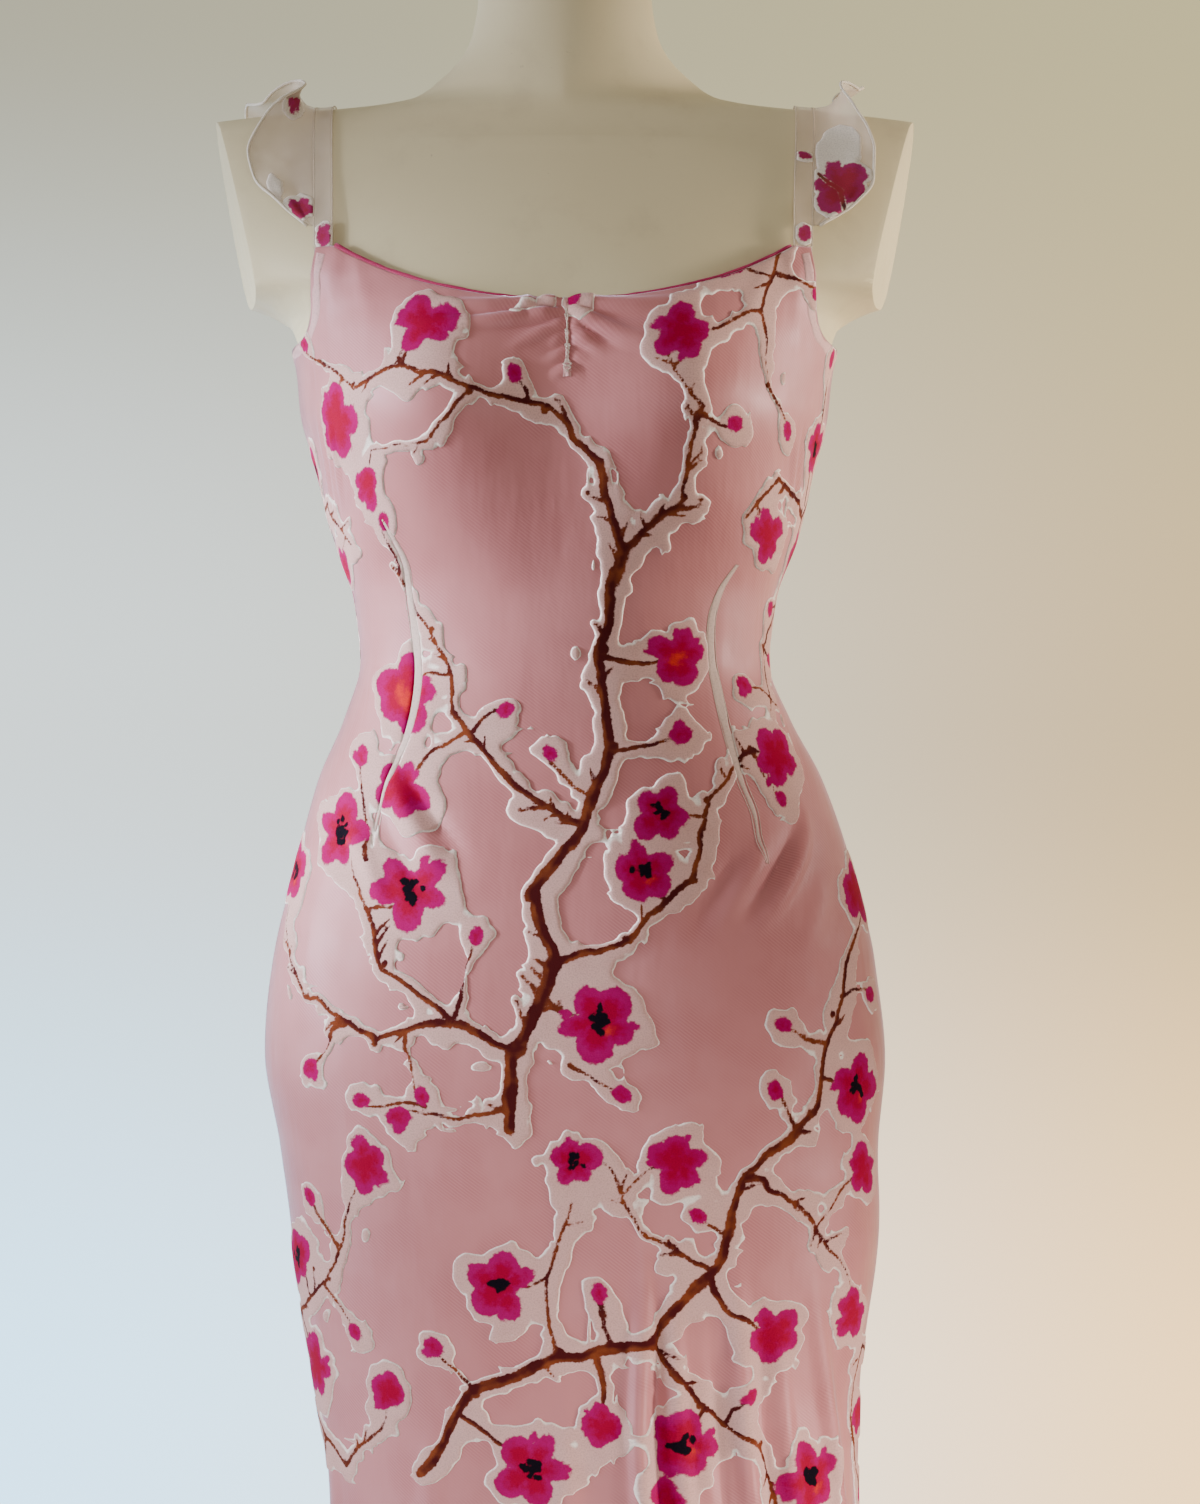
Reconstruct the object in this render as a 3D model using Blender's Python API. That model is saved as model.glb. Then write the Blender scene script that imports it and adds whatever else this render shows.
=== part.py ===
"""A bias-cut slip dress with ruffled straps, worn by a limbless dress form on a stand.

Metres, +Z up. The front faces -Y and the origin is on the floor, under the middle of the stand's base.
The cloth lies on a skin that is lofted from horizontal sections, and every panel is a thin wall on that skin.
"""

import math

import bmesh
import bpy
import numpy as np
from mathutils import Vector
from mathutils.bvhtree import BVHTree

# ---------------------------------------------------------------- driving dimensions
HEM_Z = 0.340
LINING_HEM_Z = 0.400
UNDERARM_Z = 1.215
NECK_CENTRE_Z = 1.229
STRAP_BASE_Z = 1.2655
BACK_CENTRE_Z = 1.172
BACK_STRAP_Z = 1.204

STRAP_WIDTH = 0.0105
STRAP_THICK = 0.0012
FRONT_STRAP_S = 0.1345  # from centre front to the strap's middle, along the neckline
BACK_STRAP_S = 0.1050
STRAP_CREST_X = 0.140

CLOTH_THICK = 0.001
LAYER_GAP = 0.0003
OUTER_OFFSET = CLOTH_THICK + LAYER_GAP
EASE = 0.0028  # between the dress form and the lining
SEAM_GAP = 0.0003

FORM_BOTTOM_Z = 0.660
FORM_SINK = 0.030  # how much slimmer than the skirt the form is at its lower edge
FORM_SINK_TOP_Z = 0.830

BASE_RADIUS = 0.170
BASE_THICK = 0.012
BASE_EDGE = 0.003
POLE_RADIUS = 0.0125
JOINT_GAP = 0.0003

# Sections of the skin. squareness is the superellipse's exponent and shift moves the section in X.
SECTION_COLUMNS = ("z", "half_width", "front", "back", "squareness", "shift")
SECTIONS = (
    (0.3400, 0.1700, 0.1220, 0.1280, 2.1, 0.0180),
    (0.4300, 0.1560, 0.1080, 0.1140, 2.1, 0.0180),
    (0.5430, 0.1503, 0.1010, 0.1070, 2.2, 0.0170),
    (0.6140, 0.1577, 0.1020, 0.1120, 2.2, 0.0130),
    (0.7020, 0.1695, 0.1050, 0.1230, 2.3, 0.0118),
    (0.7550, 0.1730, 0.1080, 0.1330, 2.3, 0.0085),
    (0.8080, 0.1795, 0.1105, 0.1400, 2.3, 0.0060),
    (0.8600, 0.1745, 0.1110, 0.1390, 2.3, 0.0050),
    (0.9140, 0.1615, 0.1080, 0.1250, 2.3, 0.0050),
    (0.9670, 0.1451, 0.1010, 0.1020, 2.3, 0.0030),
    (1.0020, 0.1283, 0.0955, 0.0890, 2.3, 0.0010),
    (1.0370, 0.1171, 0.0930, 0.0835, 2.2, 0.0000),
    (1.0724, 0.1209, 0.0970, 0.0870, 2.2, 0.0000),
    (1.1080, 0.1333, 0.1060, 0.0950, 2.3, 0.0000),
    (1.1430, 0.1418, 0.1160, 0.1020, 2.3, 0.0000),
    (1.1780, 0.1517, 0.1230, 0.1070, 2.4, 0.0000),
    (1.2136, 0.1553, 0.1180, 0.1090, 2.4, 0.0000),
    (1.2313, 0.1605, 0.1110, 0.1100, 2.4, 0.0000),
    (1.2371, 0.1680, 0.1085, 0.1100, 2.3, 0.0000),
    (1.2430, 0.1800, 0.1060, 0.1095, 2.15, 0.0000),
    (1.2500, 0.2000, 0.1030, 0.1090, 2.0, 0.0000),
    (1.2720, 0.2260, 0.0940, 0.1050, 1.85, 0.0000),
    (1.3077, 0.2320, 0.0770, 0.0930, 1.87, 0.0000),
    (1.3312, 0.2320, 0.0640, 0.0750, 1.80, 0.0000),
    (1.3430, 0.2280, 0.0560, 0.0640, 1.72, 0.0000),
    (1.3518, 0.2100, 0.0520, 0.0600, 1.5, 0.0000),
    (1.3548, 0.1880, 0.0515, 0.0600, 1.35, 0.0000),
    (1.3589, 0.1400, 0.0510, 0.0610, 1.3, 0.0000),
    (1.3620, 0.1130, 0.0505, 0.0610, 1.35, 0.0000),
    (1.3665, 0.0905, 0.0500, 0.0610, 1.45, 0.0000),
    (1.3783, 0.0724, 0.0490, 0.0600, 1.7, 0.0000),
    (1.3900, 0.0610, 0.0485, 0.0590, 1.9, 0.0000),
    (1.4018, 0.0550, 0.0480, 0.0580, 2.0, 0.0000),
    (1.4254, 0.0510, 0.0480, 0.0570, 2.0, 0.0000),
    (1.4600, 0.0505, 0.0480, 0.0560, 2.0, 0.0000),
)

# The bust, a pair of soft mounds pushed out of the front of the skin.
BUST = {"z": 1.168, "x": 0.076, "depth": 0.027, "above": 0.062, "below": 0.054, "across": 0.062}
BUST_VALLEY = 0.45  # share of the depth that is left between the mounds, where the cloth bridges them
BUST_EASE = 0.0040  # how much shallower the dress form's own bust is

# The arm stubs end in a flat face, turned a little to the front and leaning out at the top.
STUB_FACE = {"x": 0.1945, "z": 1.3000, "turn": 0.17, "lean": 0.20}
STUB_CUT_ABOVE_Z = 1.215  # the leaning faces would otherwise cut the hips, which are wider lower down

# Soft vertical folds in the skirt: ridges that start at top_z and reach their full depth at the hem.
FOLD_COLUMNS = ("side", "s", "top_z", "depth", "half_width", "lean")
FOLDS = (
    ("front", -0.205, 0.620, 0.0100, 0.021, -0.010),
    ("front", -0.130, 0.560, 0.0085, 0.020, -0.012),
    ("front", -0.050, 0.600, 0.0110, 0.019, -0.008),
    ("front", 0.022, 0.665, 0.0130, 0.017, 0.004),
    ("front", 0.085, 0.650, 0.0120, 0.017, 0.010),
    ("front", 0.150, 0.640, 0.0110, 0.019, 0.014),
    ("front", 0.218, 0.560, 0.0080, 0.020, 0.010),
    ("back", -0.200, 0.600, 0.0095, 0.021, -0.010),
    ("back", -0.120, 0.640, 0.0120, 0.019, -0.010),
    ("back", -0.045, 0.580, 0.0100, 0.020, -0.004),
    ("back", 0.040, 0.650, 0.0125, 0.018, 0.004),
    ("back", 0.118, 0.570, 0.0095, 0.020, 0.010),
    ("back", 0.196, 0.620, 0.0100, 0.021, 0.010),
)
FOLD_REST_WIDTH = 0.24  # half of the panel's width where the folds' s is measured

# Columns of half a panel: even ones as far as the strap, close ones where the armhole curves,
# then even ones to the seam.
COLUMNS_TO_STRAP = 5
ARMHOLE_COLUMNS = (0.0075, 0.0180, 0.0350)
COLUMNS_TO_SEAM = 3
# Row heights at the centre, from the hem up. The last row follows the neckline and armholes.
ROW_HEIGHTS = (
    0.340, 0.400, 0.475, 0.550, 0.625, 0.700, 0.765, 0.820, 0.870, 0.920, 0.963, 1.002, 1.040, 1.075,
    1.106, 1.134, 1.160, 1.184, 1.207, 1.229,
)
TOP_FOLLOW_Z = 0.985  # above this height the rows bend to follow the top edge

RUFFLE_COLUMNS = ("share", "reach", "curl", "sway")
# At each share of the strap's length: the cloth's reach in m, how far it has curled up at its edge in
# degrees, and how far the edge leans along the strap toward the back in m.
RUFFLE_SHAPE = {
    "left": (
        (0.00, 0.004, 8, 0.000),
        (0.05, 0.019, 12, 0.000),
        (0.13, 0.034, 14, 0.000),
        (0.20, 0.037, 18, 0.000),
        (0.26, 0.030, 40, 0.001),
        (0.33, 0.018, 150, 0.003),
        (0.39, 0.021, 120, 0.001),
        (0.46, 0.032, 14, -0.010),
        (0.55, 0.048, 30, 0.003),
        (0.62, 0.044, 10, 0.005),
        (0.72, 0.032, 34, 0.000),
        (0.82, 0.028, 10, 0.000),
        (1.00, 0.004, 8, 0.000),
    ),
    "right": (
        (0.00, 0.004, 10, 0.000),
        (0.05, 0.018, 16, 0.000),
        (0.12, 0.031, 20, 0.000),
        (0.20, 0.034, 26, 0.000),
        (0.27, 0.028, 54, 0.000),
        (0.33, 0.024, 105, -0.002),
        (0.39, 0.030, 40, 0.000),
        (0.46, 0.034, 56, 0.002),
        (0.54, 0.024, 95, 0.000),
        (0.62, 0.024, 30, 0.000),
        (0.74, 0.028, 14, 0.000),
        (0.84, 0.022, 38, 0.000),
        (1.00, 0.004, 10, 0.000),
    ),
}

COLOURS = {
    "pink_devore": (0.56, 0.29, 0.30),
    "pink_lining": (0.55, 0.22, 0.25),
    "sheer_devore": (0.72, 0.66, 0.58),
    "magenta_binding": (0.35, 0.02, 0.10),
    "form_shell": (0.60, 0.56, 0.46),
    "stand_metal": (0.55, 0.55, 0.54),
}
ROUGHNESS = {
    "pink_devore": 0.55,
    "pink_lining": 0.40,
    "sheer_devore": 0.60,
    "magenta_binding": 0.60,
    "form_shell": 0.55,
    "stand_metal": 0.30,
}


# ---------------------------------------------------------------- small tools
def clear_scene():
    for obj in list(bpy.data.objects):
        bpy.data.objects.remove(obj)


def material(name):
    made = bpy.data.materials.get(name)
    if made:
        return made
    made = bpy.data.materials.new(name)
    made.use_nodes = True
    shader = made.node_tree.nodes["Principled BSDF"]
    shader.inputs["Base Color"].default_value = (*COLOURS[name], 1.0)
    shader.inputs["Roughness"].default_value = ROUGHNESS[name]
    shader.inputs["Metallic"].default_value = 1.0 if name == "stand_metal" else 0.0
    return made


def smoothstep(low, high, value):
    t = np.clip((np.asarray(value, float) - low) / (high - low), 0.0, 1.0)
    return t * t * (3 - 2 * t)


def monotone(xs, ys, at):
    """A smooth curve through the points (xs, ys) that never overshoots them, read at `at`."""
    xs, ys = np.asarray(xs, float), np.asarray(ys, float)
    steps = np.diff(xs)
    slopes = np.diff(ys) / steps
    tangents = np.zeros(len(xs))
    rising = slopes[:-1] * slopes[1:] > 0
    before, after = slopes[:-1][rising], slopes[1:][rising]
    left, right = (2 * steps[1:] + steps[:-1])[rising], (steps[1:] + 2 * steps[:-1])[rising]
    tangents[1:-1][rising] = (left + right) / (left / before + right / after)
    tangents[0], tangents[-1] = slopes[0], slopes[-1]
    at = np.clip(at, xs[0], xs[-1])
    i = np.clip(np.searchsorted(xs, at) - 1, 0, len(steps) - 1)
    h = steps[i]
    t = (at - xs[i]) / h
    return (
        (1 + 2 * t) * (1 - t) ** 2 * ys[i]
        + t * (1 - t) ** 2 * h * tangents[i]
        + t * t * (3 - 2 * t) * ys[i + 1]
        + t * t * (t - 1) * h * tangents[i + 1]
    )


def section(column, z):
    heights = [row[0] for row in SECTIONS]
    values = [row[SECTION_COLUMNS.index(column)] for row in SECTIONS]
    return monotone(heights, values, z)


# ---------------------------------------------------------------- the skin
def form_inset(z):
    """How far inside the sections the dress form lies: the ease, and more where the skirt hangs free."""
    under_dress = EASE * (1 - smoothstep(1.190, 1.235, z))
    free = FORM_SINK * (1 - smoothstep(FORM_BOTTOM_Z, FORM_SINK_TOP_Z, z))
    return under_dress + free


def cloth_lift(z):
    """How far outside the sections the lining's inner face lies."""
    return EASE * smoothstep(1.190, 1.235, z)


def bust_depth(x, z, depth):
    height = np.where(z > BUST["z"], BUST["above"], BUST["below"])
    up_down = np.exp(-(((z - BUST["z"]) / height) ** 2))
    outside = np.exp(-(((np.abs(x) - BUST["x"]) / BUST["across"]) ** 2))
    inside = BUST_VALLEY + (1 - BUST_VALLEY) * smoothstep(0.0, BUST["x"], np.abs(x))
    return depth * up_down * np.where(np.abs(x) > BUST["x"], outside, inside)


def skin_ring(z, angle, grow, bust=BUST["depth"]):
    """X and Y of the skin at height z. The angle is 0 at +X, pi / 2 at the back and -pi / 2 at the front."""
    half_width = section("half_width", z) + grow
    power = 2 / section("squareness", z)
    along, across = np.cos(angle), np.sin(angle)
    x = half_width * np.sign(along) * np.abs(along) ** power
    depth = np.where(across < 0, section("front", z), section("back", z)) + grow
    y = depth * np.sign(across) * np.abs(across) ** power
    y = y - np.where(across < 0, bust_depth(x, z, bust) * np.abs(across) ** 0.5, 0.0)
    return x + section("shift", z), y


RING_STEPS = 240


def half_ring(side, z, grow):
    """Half the skin at height z, from the left seam to the right: X, Y and arc length from its middle."""
    turn = -1 if side == "front" else 1
    angle = turn * np.linspace(math.pi, 0.0, 2 * RING_STEPS + 1)
    x, y = skin_ring(z, angle, grow)
    steps = np.hypot(np.diff(x), np.diff(y))
    length = np.concatenate([[0.0], np.cumsum(steps)])
    return x, y, length - length[RING_STEPS]


def panel_half_width(side, z):
    """Half the width of a panel, along the skin. Above the underarm it stays what it is there."""
    length = half_ring(side, min(z, UNDERARM_Z), float(cloth_lift(z)))[2]
    return length[-1]


def skin_point(side, s, z):
    """The point of the lining's inner face, s metres round from the centre of the front or back."""
    x, y, length = half_ring(side, z, float(cloth_lift(z)))
    return np.array([np.interp(s, length, x), np.interp(s, length, y), z])


def fold_rise(side, share, z):
    """How far the skirt's folds push the cloth out at this share of the panel's half width."""
    rise = 0.0
    for row in FOLDS:
        fold = dict(zip(FOLD_COLUMNS, row))
        if fold["side"] != side:
            continue
        down = float(smoothstep(0.0, 1.0, (fold["top_z"] - z) / (fold["top_z"] - HEM_Z)))
        middle = fold["s"] + fold["lean"] * down
        away = (share * FOLD_REST_WIDTH - middle) / fold["half_width"]
        rise += fold["depth"] * down * math.exp(-away * away)
    return rise


# ---------------------------------------------------------------- the dress's edges
def neckline_front(s):
    share = abs(s) / (FRONT_STRAP_S - STRAP_WIDTH / 2)
    return NECK_CENTRE_Z + (STRAP_BASE_Z - NECK_CENTRE_Z) * share**2.2


def front_top(s, side_s):
    """Height of the front's upper edge: the neckline, a short level rest for the strap, and the armhole."""
    strap_in, strap_out = FRONT_STRAP_S - STRAP_WIDTH / 2, FRONT_STRAP_S + STRAP_WIDTH / 2
    if abs(s) <= strap_in:
        return neckline_front(s)
    if abs(s) <= strap_out:
        return STRAP_BASE_Z
    share = (abs(s) - strap_out) / (side_s - strap_out)
    return UNDERARM_Z + (STRAP_BASE_Z - UNDERARM_Z) * (1 - min(share, 1.0)) ** 7


def back_top(s, side_s):
    """Height of the back's upper edge: a shallow scoop, a rest for the strap, and a rise to the underarm."""
    strap_in, strap_out = BACK_STRAP_S - STRAP_WIDTH / 2, BACK_STRAP_S + STRAP_WIDTH / 2
    if abs(s) <= strap_in:
        return BACK_CENTRE_Z + (BACK_STRAP_Z - BACK_CENTRE_Z) * (abs(s) / strap_in) ** 2.0
    if abs(s) <= strap_out:
        return BACK_STRAP_Z
    share = (abs(s) - strap_out) / (side_s - strap_out)
    return BACK_STRAP_Z + (UNDERARM_Z - BACK_STRAP_Z) * float(smoothstep(0.0, 1.0, share))


TOP_EDGE = {"front": front_top, "back": back_top}
STRAP_S = {"front": FRONT_STRAP_S, "back": BACK_STRAP_S}


def panel_shares(side):
    """Where the panel's columns stand, as shares of its half width, from the left seam to the right."""
    side_s = panel_half_width(side, UNDERARM_Z)
    strap_in, strap_out = STRAP_S[side] - STRAP_WIDTH / 2, STRAP_S[side] + STRAP_WIDTH / 2
    half = list(np.linspace(0.0, strap_in, COLUMNS_TO_STRAP)) + [strap_out]
    half += [strap_out + step for step in ARMHOLE_COLUMNS]
    half += list(np.linspace(half[-1], side_s, COLUMNS_TO_SEAM + 1)[1:])
    return [-s / side_s for s in reversed(half[1:])] + [s / side_s for s in half]


def panel_rows(side, share):
    """Heights of one column's points, from the hem up to the panel's upper edge."""
    side_s = panel_half_width(side, UNDERARM_Z)
    top = TOP_EDGE[side](share * side_s, side_s)
    stretch = (top - TOP_FOLLOW_Z) / (ROW_HEIGHTS[-1] - TOP_FOLLOW_Z)
    return [z if z <= TOP_FOLLOW_Z else TOP_FOLLOW_Z + (z - TOP_FOLLOW_Z) * stretch for z in ROW_HEIGHTS]


def panel_grid(side):
    """Points of the lining's inner face: rows from the hem up, columns from the left seam to the right."""
    columns = []
    for share in panel_shares(side):
        column = []
        for z in panel_rows(side, share):
            half = panel_half_width(side, z)
            s = share * (half - SEAM_GAP / 2)
            point = skin_point(side, s, z)
            outward = (point - np.array([section("shift", z), 0.0, z])) * (1, 1, 0)
            point += fold_rise(side, share, z) * outward / np.linalg.norm(outward)
            column.append(point)
        columns.append(column)
    return np.transpose(np.array(columns), (1, 0, 2))


def panel_normals(side, grid):
    """Outward unit normals of a panel, level at its hem and upper edge and sideways at its seams."""
    up = np.gradient(grid, axis=0)
    along = np.gradient(grid, axis=1)
    normal = np.cross(along, up) * (1 if side == "front" else -1)
    normal[[0, -1], :, 2] = 0.0
    normal[:, [0, -1], 1] = 0.0
    return normal / np.linalg.norm(normal, axis=2, keepdims=True)


# ---------------------------------------------------------------- solids
def mesh_object(name, points, faces, slot):
    mesh = bpy.data.meshes.new(name)
    mesh.from_pydata([tuple(p) for p in points], [], faces)
    mesh.materials.append(material(slot))
    shaped = bmesh.new()
    shaped.from_mesh(mesh)
    bmesh.ops.recalc_face_normals(shaped, faces=shaped.faces)
    shaped.to_mesh(mesh)
    shaped.free()
    obj = bpy.data.objects.new(name, mesh)
    bpy.context.scene.collection.objects.link(obj)
    return obj


def wall(name, inner, outer, slot):
    """A closed wall between two grids of points that have the same rows and columns."""
    rows, columns = inner.shape[:2]
    count = rows * columns
    points = np.concatenate([inner.reshape(-1, 3), outer.reshape(-1, 3)])
    faces = []
    for r in range(rows - 1):
        for c in range(columns - 1):
            a, b = r * columns + c, r * columns + c + 1
            d, e = a + columns, b + columns
            faces += [(a, e, b), (a, d, e)]
            faces += [(a + count, b + count, e + count), (a + count, e + count, d + count)]
    around = [c for c in range(columns)]
    around += [r * columns + columns - 1 for r in range(1, rows)]
    around += [(rows - 1) * columns + c for c in range(columns - 2, -1, -1)]
    around += [r * columns for r in range(rows - 2, 0, -1)]
    for a, b in zip(around, around[1:] + around[:1]):
        faces += [(a, b, b + count), (a, b + count, a + count)]
    return mesh_object(name, points, faces, slot)


def cloth_panel(side):
    """The front's or back's lining and outer. Returns the surface between them and its normals."""
    base = panel_grid(side)
    normal = panel_normals(side, base)
    first = ROW_HEIGHTS.index(LINING_HEM_Z)
    wall(side + "_lining", base[first:], (base + normal * CLOTH_THICK)[first:], "pink_lining")
    outer = base + normal * OUTER_OFFSET
    wall(side + "_panel", outer, outer + normal * CLOTH_THICK, "pink_devore")
    return base + normal * (OUTER_OFFSET + CLOTH_THICK) / 2, normal


BINDING_RADIUS = 0.0012
BINDING_GAP = 0.0003
BINDING_END_SHARE = 0.06  # of the last column: how far the binding's ends stop short of the straps


def neck_binding(side, middle, normal):
    """A narrow rolled binding on the upper edge, from strap to strap."""
    side_s = panel_half_width(side, UNDERARM_Z)
    strap_in = STRAP_S[side] - STRAP_WIDTH / 2
    inside = [i for i, v in enumerate(panel_shares(side)) if abs(v) * side_s < strap_in + 0.0001]
    edge, out = middle[-1][inside], normal[-1][inside]
    along = np.gradient(edge, axis=0)
    above = np.cross(out, along) * (1 if side == "front" else -1)
    above /= np.linalg.norm(above, axis=1, keepdims=True)
    path = edge + above * (BINDING_RADIUS + BINDING_GAP)
    path[[0, -1]] += (path[[1, -2]] - path[[0, -1]]) * BINDING_END_SHARE
    curve = bpy.data.curves.new(side + "_neck_binding", "CURVE")
    curve.dimensions = "3D"
    curve.bevel_depth = BINDING_RADIUS
    curve.bevel_resolution = 1
    curve.use_fill_caps = True
    spline = curve.splines.new("POLY")
    spline.points.add(len(path) - 1)
    for point, place in zip(spline.points, path):
        point.co = (*place, 1.0)
    curve.materials.append(material("magenta_binding"))
    obj = bpy.data.objects.new(side + "_neck_binding", curve)
    bpy.context.scene.collection.objects.link(obj)


# ---------------------------------------------------------------- the dress form and its stand
FORM_COLUMNS = 48
FORM_ROWS = (
    0.660, 0.690, 0.720, 0.750, 0.780, 0.810, 0.840, 0.870, 0.900, 0.930, 0.957, 0.982, 1.006, 1.030,
    1.054, 1.078, 1.102, 1.126, 1.148, 1.170, 1.192, 1.212, 1.228, 1.237, 1.244, 1.252, 1.266, 1.286,
    1.306, 1.322, 1.333, 1.342, 1.349, 1.3535, 1.3565, 1.3592, 1.3625, 1.368, 1.376, 1.386, 1.400, 1.425,
    1.460,
)


def form_grid(heights, columns):
    angles = np.linspace(0.0, 2 * math.pi, columns, endpoint=False)
    angles = np.where(angles > math.pi, angles - 2 * math.pi, angles)
    rings = []
    for z in heights:
        x, y = skin_ring(z, angles, -float(form_inset(z)), BUST["depth"] - BUST_EASE)
        rings.append(np.stack([x, y, np.full(columns, z)], axis=1))
    return np.array(rings)


def dress_form():
    """The torso, neck and arm stubs as one smooth solid with flat ends."""
    grid = form_grid(FORM_ROWS, FORM_COLUMNS)
    rows, columns = grid.shape[:2]
    faces = []
    for r in range(rows - 1):
        for c in range(columns):
            a, b = r * columns + c, r * columns + (c + 1) % columns
            d, e = a + columns, b + columns
            faces += [(a, b, e), (a, e, d)]
    faces.append(tuple(reversed(range(columns))))
    faces.append(tuple(range((rows - 1) * columns, rows * columns)))
    torso = mesh_object("form_torso", grid.reshape(-1, 3), faces, "form_shell")
    for hand in (-1, 1):
        cut_stub(torso, hand)
    return torso


def cut_stub(torso, hand):
    """Cuts one arm stub off flat."""
    shaped = bmesh.new()
    shaped.from_mesh(torso.data)
    plane = Vector((hand, -STUB_FACE["turn"], -STUB_FACE["lean"])).normalized()
    place = (hand * STUB_FACE["x"], 0.0, STUB_FACE["z"])
    upper = {vertex for vertex in shaped.verts if vertex.co.z > STUB_CUT_ABOVE_Z}
    geometry = list(upper)
    geometry += [item for item in (*shaped.edges, *shaped.faces) if all(v in upper for v in item.verts)]
    cut = bmesh.ops.bisect_plane(shaped, geom=geometry, plane_co=place, plane_no=plane, clear_outer=True)
    rim = [item for item in cut["geom_cut"] if isinstance(item, bmesh.types.BMEdge)]
    bmesh.ops.edgenet_fill(shaped, edges=rim)
    bmesh.ops.recalc_face_normals(shaped, faces=shaped.faces)
    shaped.to_mesh(torso.data)
    shaped.free()


def turned(name, radius, bottom, top, sides, bevel):
    """A round piece of the stand, with its upper and lower edges rounded where bevel is not 0."""
    bpy.ops.mesh.primitive_cylinder_add(
        vertices=sides, radius=radius, depth=top - bottom, location=(0.0, 0.0, (bottom + top) / 2)
    )
    obj = bpy.context.object
    obj.name = name
    obj.data.name = name
    obj.data.materials.append(material("stand_metal"))
    obj.data.shade_smooth()
    obj.data.set_sharp_from_angle(angle=math.radians(35))
    if bevel:
        rounding = obj.modifiers.new("rounding", "BEVEL")
        rounding.width = bevel
        rounding.segments = 2
        rounding.limit_method = "ANGLE"
    return obj


def stand():
    turned("stand_base", BASE_RADIUS, 0.0, BASE_THICK, sides=48, bevel=BASE_EDGE)
    turned("stand_pole", POLE_RADIUS, BASE_THICK + JOINT_GAP, FORM_BOTTOM_Z - JOINT_GAP, sides=24, bevel=0.0)


# ---------------------------------------------------------------- straps and ruffles
STRAP_STEPS = 36
STRAP_CLEAR = 0.0010
STRAP_PIVOT = Vector((0.0, 0.008, 1.285))
STRAP_REACH = 0.40


def shoulder_hit(tree, x, angle):
    """Where a ray at this angle round the shoulder meets the form, and the form's normal there."""
    toward = Vector((0.0, math.cos(angle), math.sin(angle)))
    pivot = Vector((x, STRAP_PIVOT.y, STRAP_PIVOT.z))
    place, normal, _, _ = tree.ray_cast(pivot + toward * STRAP_REACH, -toward, STRAP_REACH)
    return place, normal


def angle_at_height(tree, x, z, low, high):
    """The angle between low and high at which the form's surface is at height z."""
    for _ in range(40):
        middle = (low + high) / 2
        if shoulder_hit(tree, x, middle)[0].z < z:
            low = middle
        else:
            high = middle
    return (low + high) / 2


def strap_lines(tree, hand, front_base, back_base):
    """The strap's two edges and middle on the form, with normals, from the front base over to the back."""
    start = angle_at_height(tree, front_base.x, front_base.z, math.radians(215), math.radians(120))
    end = angle_at_height(tree, back_base.x, back_base.z, math.radians(-60), math.radians(60))
    places, normals = [], []
    for i in range(STRAP_STEPS + 1):
        t = i / STRAP_STEPS
        angle = start + (end - start) * t
        rise = math.sin(math.pi * min(t / 0.55, 1.0) / 2)
        fall = float(smoothstep(0.55, 1.0, t))
        x = front_base.x + (hand * STRAP_CREST_X - front_base.x) * rise
        x += (back_base.x - hand * STRAP_CREST_X) * fall
        row, turned_out = [], []
        for across in (-0.5, 0.0, 0.5):
            place, normal = shoulder_hit(tree, x + hand * across * STRAP_WIDTH, angle)
            row.append(place)
            turned_out.append(normal)
        places.append(row)
        normals.append(turned_out)
    places, normals = np.array(places), np.array(normals)
    for _ in range(3):  # the facets' normals, eased along the strap
        normals[1:-1] = (normals[:-2] + 2 * normals[1:-1] + normals[2:]) / 4
    normals /= np.linalg.norm(normals, axis=2, keepdims=True)
    return places, normals


def strap(tree, hand_name, front_base, back_base):
    """One strap as a flat wall. Returns its outer edge line, the normals there, and the outward direction."""
    hand = -1 if hand_name == "left" else 1
    places, normals = strap_lines(tree, hand, front_base, back_base)
    from_end = np.minimum(np.arange(STRAP_STEPS + 1), np.arange(STRAP_STEPS, -1, -1)) / 7
    clear = STRAP_CLEAR + (EASE - STRAP_CLEAR) * (1 - smoothstep(0.0, 1.0, from_end))
    normals[[0, -1], :, 2] = 0.0
    inner = places + normals * clear[:, None, None]
    inner[0, :, 2] = front_base.z
    inner[-1, :, 2] = back_base.z
    wall("strap_" + hand_name, inner, inner + normals * STRAP_THICK, "sheer_devore")
    edge = inner[:, 2] + normals[:, 2] * STRAP_THICK / 2
    outward = inner[:, 2] - inner[:, 0]
    outward /= np.linalg.norm(outward, axis=1, keepdims=True)
    return edge, normals[:, 2], outward


RUFFLE_THICK = 0.0010
RUFFLE_GAP = 0.0008
RUFFLE_ACROSS = 5
RUFFLE_LIFT = 8  # degrees that the cloth lifts off the shoulder where it is sewn to the strap
RUFFLE_SPAN = (0.03, 0.86)


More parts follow.
